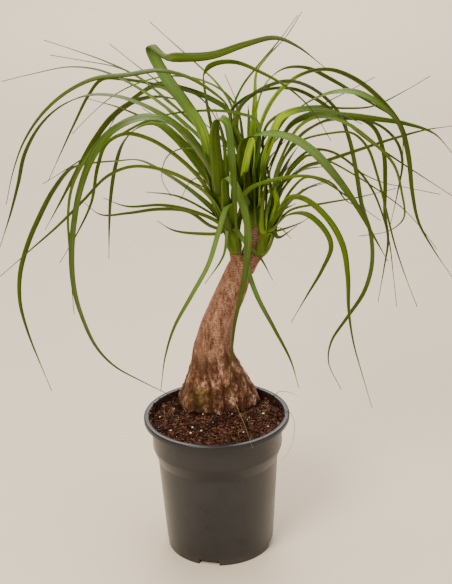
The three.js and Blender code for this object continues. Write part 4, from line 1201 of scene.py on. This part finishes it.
def filling_rows(head):
    """Filling leaves, the inner ones shorter and more upright, turned by the golden ratio."""
    draw = seeded_draw(head["seed"])
    rows = []
    for i in range(FILL_COUNT):
        inward = i / (FILL_COUNT - 1)
        turn = math.radians(head["facing"] + FILL_SPREAD_DEG * (i * GOLDEN_SHARE % 1 - 0.5))
        lean = math.radians(mix(*FILL_LEAN_DEG, inward) + FILL_LEAN_EXTRA_DEG * next(draw))
        droop = math.radians(mix(*FILL_DROOP_DEG, inward) + FILL_DROOP_EXTRA_DEG * next(draw))
        step = mix(*FILL_LENGTH, inward) * mix(*FILL_LENGTH_SHARE, next(draw)) / FILL_POINTS
        middle = head_axis(head, head["height"] * mix(LOWEST_ROOT, HIGHEST_ROOT, inward))
        angle = lean + droop * 2 * np.arange(FILL_POINTS) / FILL_POINTS
        out = np.cumsum(step * np.sin(angle))
        up = np.cumsum(step * np.cos(angle))
        points = middle + np.column_stack([out * math.cos(turn), out * math.sin(turn), up])
        width = mix(*FILL_WIDTH, next(draw))
        rows.append([width, 0, FILL_TWIST_DEG * (2 * next(draw) - 1), *points.tolist()])
    return rows


def leaf_line(head, place, row):
    """The middle line of a leaf: up out of the core as a sheath, then through its points."""
    width, *twist = row[:3]
    stations = np.array(row[3:], float)
    rise = head["height"] * mix(LOWEST_ROOT, HIGHEST_ROOT, place)
    root = head_axis(head, rise)
    sheath = head_axis(head, rise + SHEATH_RISE)
    outward = unit((stations[0] - root) * [1, 1, 0])
    root = root + outward * head["radius"] * ROOT_OUT
    sheath = sheath + outward * head["sheath_out"]
    route = np.vstack([root, sheath, stations])
    wanted = round(bend_table(route, BEND_REACH)[1][-1] / STEP_LENGTH)
    steps = min(max(wanted, FEWEST_STEPS), MOST_STEPS)
    return {"width": width, "twist": np.radians(twist), "outward": outward,
            "points": spaced(route, steps)}


def head_lines(name):
    """Middle lines of a head's leaves and filling leaves, which start higher from row to row."""
    lines = []
    for rows in (LEAVES[name], filling_rows(HEADS[name])):
        lines += [leaf_line(HEADS[name], i / (len(rows) - 1), row) for i, row in enumerate(rows)]
    return lines


def narrow_lines(name):
    """Middle lines of a head's narrow leaves, which start at the bottom."""
    return [leaf_line(HEADS[name], 0, row) for row in NARROW[name]]


def of_all(lines, key):
    """One value of each line, as an array."""
    return np.array([line[key] for line in lines])


def by_number(table, name, lines, otherwise):
    """The values that a table gives to some leaves of a head by number, and others to the rest:
    an array for each value, with a row for each leaf."""
    rows = table.get(name, {})
    return np.array([rows.get(i, otherwise) for i in range(len(lines))], float).T[:, :, None]


def width_at(width, t, narrowest):
    """A broad sheath as a bell curve, an even strap, then a long taper to a thread."""
    sheath = 1 + SHEATH_WIDENING * np.exp(-((t / SHEATH_SHARE) ** 2))
    return np.maximum(width * sheath * (1 - t**TAPER_POWER), narrowest)


def leaf_sides(points, last, outward, twist, turned_over=0):
    """Directions across many leaves at once: carried along each line without turning, then
    twisted evenly from the first angle to the second, with the angles by which a leaf has turned
    over added. Points has a row of places for each leaf, of which those after last repeat."""
    step = np.arange(points.shape[1])
    ahead = np.minimum(step + 1, last[:, None])
    behind = np.minimum(np.maximum(step - 1, 0), last[:, None] - 1)
    leaf = np.arange(len(points))[:, None]
    along = unit(points[leaf, ahead] - points[leaf, behind])
    across = np.column_stack([-outward[:, 1], outward[:, 0], np.zeros(len(outward))])
    angles = mix(twist[:, :1], twist[:, 1:], np.minimum(step / last[:, None], 1)) + turned_over
    sides = np.zeros_like(points)
    for i in step:
        across = unit(across - along[:, i] * np.sum(across * along[:, i], axis=1, keepdims=True))
        angle = angles[:, i:i + 1]
        sides[:, i] = across * np.cos(angle) + np.cross(along[:, i], across) * np.sin(angle)
    return sides, unit(np.cross(along, sides))


def padded_lines(lines):
    """All leaf lines in one array, the last point repeated, with each one's last index."""
    last = np.array([len(line["points"]) - 1 for line in lines])
    points = np.zeros((len(lines), last.max() + 1, 3))
    for i, line in enumerate(lines):
        points[i] = line["points"][np.minimum(np.arange(last.max() + 1), last[i])]
    return points, last


def meeting_steps(points, last, heads):
    """Pairs of steps of leaves of different heads that start near each other."""
    leaf, step = np.nonzero(np.arange(points.shape[1]) < last[:, None])
    start = points[leaf, step]
    pairs = []
    for first in range(len(leaf)):
        away = np.linalg.norm(start[first + 1:] - start[first], axis=1)
        near = away < PAIR_REACH * STEP_LENGTH
        other = np.nonzero(near & (heads[leaf[first + 1:]] != heads[leaf[first]]))[0] + first + 1
        pairs.append(np.column_stack([np.full(len(other), first), other]))
    first, second = np.vstack(pairs).T
    return leaf[first], step[first], leaf[second], step[second]


def closest(a0, a1, b0, b1):
    """Closest points of two straight steps, as the share along each and the way between them."""
    u, v, w = a1 - a0, b1 - b0, a0 - b0
    uu, uv, vv = np.sum(u * u, 1), np.sum(u * v, 1), np.sum(v * v, 1)
    uw, vw = np.sum(u * w, 1), np.sum(v * w, 1)
    s = np.clip((uv * vw - vv * uw) / np.maximum(uu * vv - uv * uv, 1e-6), 0, 1)
    t = np.clip((s * uv + vw) / vv, 0, 1)
    s = np.clip((t * uv - uw) / uu, 0, 1)
    return s, t, w + u * s[:, None] - v * t[:, None]


def clear_heads(lines, heads):
    """Bends the leaves of different heads clear of each other, a little at a time: where two
    steps are closer than their widths seen along the way between them, the four ends move apart
    by their shares. Roots stay put."""
    points, last = padded_lines(lines)
    width, twist, outward = (of_all(lines, key) for key in ("width", "twist", "outward"))
    a, i, b, j = meeting_steps(points, last, heads)
    width_a = width_at(width[a], i / last[a], TIP_WIDTH)
    width_b = width_at(width[b], j / last[b], TIP_WIDTH)
    held = np.arange(points.shape[1])[None, :, None]
    for _ in range(CLEARING_ROUNDS):
        sides = leaf_sides(points, last, outward, twist)[0]
        s, t, apart = closest(points[a, i], points[a, i + 1], points[b, j], points[b, j + 1])
        distance = np.maximum(np.linalg.norm(apart, axis=1), 1e-3)
        way = apart / distance[:, None]
        reach = width_a * np.abs(np.sum(sides[a, i] * way, 1))
        reach += width_b * np.abs(np.sum(sides[b, j] * way, 1))
        near = np.linalg.norm(points[a, i] - points[b, j], axis=1) <= PUSH_REACH * STEP_LENGTH
        push = PUSH_SHARE * np.maximum(CLEARANCE + reach / 2 - distance, 0) * near
        shift = np.zeros_like(points)
        for leaf, step, share in ((a, i, 1 - s), (a, i + 1, s), (b, j, t - 1), (b, j + 1, -t)):
            np.add.at(shift, (leaf, step), way * (push * share)[:, None])
        moved = shift.copy()
        moved[:, 2:] += SPREAD_SHARE * shift[:, 1:-1]
        moved[:, :-1] += SPREAD_SHARE * shift[:, 1:]
        free = (held > 0) & (held <= last[:, None, None])
        points += np.where(free, moved, 0)
    for line, row, end in zip(lines, points, last):
        line["points"] = row[:end + 1]


def blades(name, lines, draws):
    """The surfaces of a head's leaves. A section has a shallow fold along the midrib, deeper where
    the sheath clasps the core, and is thickest at the midrib; it is carried along the fine line,
    and a slow ripple lifts and lowers its edges."""
    fine = np.array([spaced(line["points"], FINE_STEPS) for line in lines])
    last = np.full(len(lines), FINE_STEPS)
    t = (np.arange(FINE_STEPS + 1) / FINE_STEPS)[None, :, None]
    start, end, degrees = by_number(FOLDED, name, lines, NO_FOLD)
    turned_over = np.radians(degrees) * smoothstep(start, end, t[..., 0])
    side, face = leaf_sides(fine, last, of_all(lines, "outward"), of_all(lines, "twist"), turned_over)
    width = width_at(of_all(lines, "width")[:, None, None], t, THREAD_WIDTH)
    across, under = SECTION.T
    fold = width * (FOLD + SHEATH_FOLD * np.exp(-t / SHEATH_FOLD_SHARE))
    phase = draws.uniform(0, TURN, (len(lines), 1, 2))
    ripple = RIPPLE * width * np.sin(t * 21 + phase[..., :1]) * np.sin(t * 8 + phase[..., 1:])
    thick = np.minimum(mix(EDGE_THICKNESS, RIB_THICKNESS, 1 - across**2), 0.7 * width)
    lift = fold * (np.abs(across) ** 1.4 - 1) + ripple * across - under * thick
    points = (fine[:, :, None] + side[:, :, None] * (0.5 * width * across)[..., None]
              + face[:, :, None] * lift[..., None])
    return points, t


def core_shape(head):
    """The bundle of leaf bases: rings along the head's axis, ridged by the sheaths inside."""
    share = np.linspace(0, 1, CORE_ROWS)
    radius = np.interp(share, *CORE_SHAPE.T) * head["radius"]
    ridges = 1 + CORE_RIDGE * np.cos(5 * turns(CORE_COLUMNS)) * np.sin(share * 9)[:, None]
    middle = [head_axis(head, max(part * head["height"], 0.3)) for part in share]
    return tube(middle, radius[:, None] * ridges)


def leaf_green():
    """Strap leaf: green above, greyer and bluer in patches as painted sheen, and dark olive underneath
    as painted shade; painted shade near its root and far out; bright yellow-green where young and in
    stretches of painted light through it, and on the rim of its foot; with lengthwise veins, a paler
    midrib and margin, and a dry brown tip."""
    finish = Finish("leaf_green", Specular_IOR_Level=0.16)
    along, chance, youth_and_light = finish.stored_parts("leaf")
    across, under, distance = finish.stored_parts("blade")
    from_rib = finish.maths("ABSOLUTE", across)
    strip = finish.add("CombineXYZ", {"X": finish.times(across, 5.0),
                                      "Y": finish.times(distance, 0.012),
                                      "Z": finish.times(chance, 40.0)})
    veins = finish.add("TexNoise", {"Vector": strip, "Scale": 3.0, "Detail": 3.0})
    patches = finish.noise(28, 4)
    # Painted light and shade by side: the upper face greyer and bluer in patches as painted sheen, the
    # underside darker olive as painted shade.
    upper = finish.blend(chance, tone(0.068, 0.122, 0.006), tone(0.108, 0.18, 0.022))
    upper = finish.blend(finish.span(patches, 0.35, 0.65, 0, 0.6), upper, tone(0.1, 0.182, 0.045))
    lower = finish.blend(chance, tone(0.05, 0.084, 0.001), tone(0.09, 0.148, 0.002))
    colour = finish.blend(under, upper, lower)
    # Painted shade far out along the leaf.
    far = finish.maths("MAXIMUM", finish.span(distance, 200, 310, 0, 0.75),
                       finish.span(along, 0.55, 0.88))
    colour = finish.blend(finish.times(far, 0.9), colour, tone(0.036, 0.056, 0.0015))
    # Painted shade near the root, where the leaves crowd.
    colour = finish.blend(finish.span(distance, 75, 5, 0, 0.6), colour, tone(0.03, 0.044, 0.001))
    # Youth together with painted light through the leaf: a bright yellow-green stretch.
    bright = finish.blend(finish.span(veins, 0.3, 0.7), tone(0.19, 0.33, 0.004),
                          tone(0.4, 0.6, 0.035))
    foot_rim = finish.span(distance, 8, 1, 0, 0.25)
    colour = finish.blend(finish.maths("MAXIMUM", youth_and_light, foot_rim), colour, bright)
    streak = finish.span(veins, 0.35, 0.65, 0.75, 1.25)
    light = finish.times(streak, finish.span(from_rib, 0.14, 0.02, 1.0, 1.35))
    shade = finish.add("CombineColor", {"Red": light, "Green": light, "Blue": light})
    colour = finish.blend(1.0, colour, shade, "MULTIPLY")
    colour = finish.blend(finish.span(from_rib, 0.86, 1.0, 0, 0.25), colour, tone(0.12, 0.15, 0.02))
    colour = finish.blend(finish.span(along, 0.95, 1.0), colour, tone(0.055, 0.04, 0.01))
    roughness = finish.span(veins, 0.3, 0.7, 0.4, 0.52)
    return finish.surface(colour, roughness, veins, 0.12)


def make_head(name, lines, material):
    """All leaves of a head and its core in one piece, with what their colour needs. On a leaf that
    is the share along it, a chance number and its youth with painted light, which fades in and out at
    the ends of the bright stretch, and then the place across, the side and the distance from the root."""
    head = HEADS[name]
    draws = np.random.default_rng(head["seed"])
    points, t = blades(name, lines, draws)
    shape = points.shape[:3]
    length = np.array([bend_table(line["points"])[1][-1] for line in lines])[:, None, None]
    distance = t * length
    # The bright stretch is youth together with painted light through the leaf.
    bright, start, end = by_number(YOUNG_AND_LIT, name, lines, NOT_BRIGHT)[..., None]
    youth_and_light = bright * (smoothstep(start - FADE, start + FADE, distance)
                      - smoothstep(end - FADE, end + FADE, distance))
    chance = draws.random((len(lines), 1, 1))
    leaf = np.stack([np.broadcast_to(part, shape) for part in (t, chance, youth_and_light)], axis=-1)
    blade = np.stack(np.broadcast_arrays(*SECTION.T, distance), axis=-1)
    core_points, core_faces = core_shape(head)
    core_leaf = np.tile(CORE_LOOK, (len(core_points), 1))
    x, y, z = (core_points - head["base"]).T
    core_blade = np.column_stack([0.95 * np.cos(3 * np.arctan2(y, x)), np.full(len(x), 0.5), z])
    faces = ring_faces(*shape[1:])
    shapes = [(one.reshape(-1, 3), faces) for one in points] + [(core_points, core_faces)]
    mesh = mesh_of("leaves_" + name, *joined(shapes))
    store(mesh, "leaf", np.vstack([leaf.reshape(-1, 3), core_leaf]))
    store(mesh, "blade", np.vstack([blade.reshape(-1, 3), core_blade]))
    piece_of("leaves_" + name, mesh, material, ["head_" + name])


def straw():
    """Dry leaf: brown, or blotched straw where pale."""
    finish = Finish("straw", Specular_IOR_Level=0.3, Roughness=0.7)
    pale = finish.ramp(finish.noise(6, 3), (0.35, tone(0.15, 0.115, 0.035)),
                       (0.65, tone(0.32, 0.27, 0.1)))
    return finish.surface(finish.blend(finish.stored("shade"), tone(0.07, 0.035, 0.012), pale))


def make_threads():
    """The dry threads, as strands along their curves."""
    share = np.linspace(0, 1, 60)
    strands = [strand(catmull_rom(np.array(points, float), share), thickness / 2, 6)
               for thickness, _, *points in DRY_THREADS]
    shades = [float(row[1]) for row in DRY_THREADS]
    shaded_strands("dry_threads", strands, shades, straw())


def make_heads():
    """The three heads, bent clear of each other before the narrow leaves are added."""
    groups = [head_lines(name) for name in HEADS]
    lines = [line for group in groups for line in group]
    clear_heads(lines, np.repeat(np.arange(len(groups)), [len(group) for group in groups]))
    material = leaf_green()
    for name, group in zip(HEADS, groups):
        make_head(name, group + narrow_lines(name), material)


# Stage


def make_camera():
    """Looks along +Y, tilted down, and rolled so that the picture's content turns anticlockwise."""
    down, roll = math.radians(CAMERA_DOWN_DEG), math.radians(CAMERA_ROLL_DEG)
    right = np.array([1.0, 0, 0])
    forward = np.array([0, math.cos(down), -math.sin(down)])
    up = np.cross(right, forward)
    axis_x = right * math.cos(roll) - up * math.sin(roll)
    axis_y = right * math.sin(roll) + up * math.cos(roll)
    turn = Matrix(np.column_stack([axis_x, axis_y, -forward]).tolist()).to_4x4()
    data = bpy.data.cameras.new("camera")
    data.lens = CAMERA_LENS
    data.sensor_width = CAMERA_SENSOR
    camera = placed("camera", data)
    camera.matrix_world = Matrix.Translation(CAMERA_PLACE) @ turn
    bpy.context.scene.camera = camera


def make_floor():
    """A large pale square under the plant, which isn't part of it."""
    mesh = bpy.data.meshes.new("floor")
    corners = ((-1, -1), (1, -1), (1, 1), (-1, 1))
    mesh.from_pydata([(x * FLOOR_REACH, y * FLOOR_REACH, 0) for x, y in corners], [], [range(4)])
    finish = Finish("pale_floor", Base_Color=tone(0.86, 0.75, 0.6), Roughness=0.8,
                    Specular_IOR_Level=0.2)
    mesh.materials.append(finish.material)
    placed("floor", mesh)


def make_light(name, place, target, size, power, colour):
    """A square soft light at a place, facing a target."""
    data = bpy.data.lights.new(name, "AREA")
    data.size = size
    data.energy = power
    data.color = colour
    back = unit(np.array(place) - target)
    side = unit(np.cross([0, 0, 1], back))
    turn = Matrix(np.column_stack([side, np.cross(back, side), back]).tolist()).to_4x4()
    placed(name, data).matrix_world = Matrix.Translation(place) @ turn


def make_stage():
    """The camera, the floor, the lights and a dim warm sky."""
    make_camera()
    make_floor()
    for light in LIGHTS:
        make_light(*light)
    world = bpy.data.worlds.new("studio")
    world.use_nodes = True
    sky = world.node_tree.nodes["Background"]
    sky.inputs["Color"].default_value = tone(1.0, 0.93, 0.84)
    sky.inputs["Strength"].default_value = SKY_STRENGTH
    bpy.context.scene.world = world


make_stage()
make_pot()
make_trunk()
make_soil_bed()
make_crumbs()
make_perlite()
make_fibres()
make_heads()
make_threads()
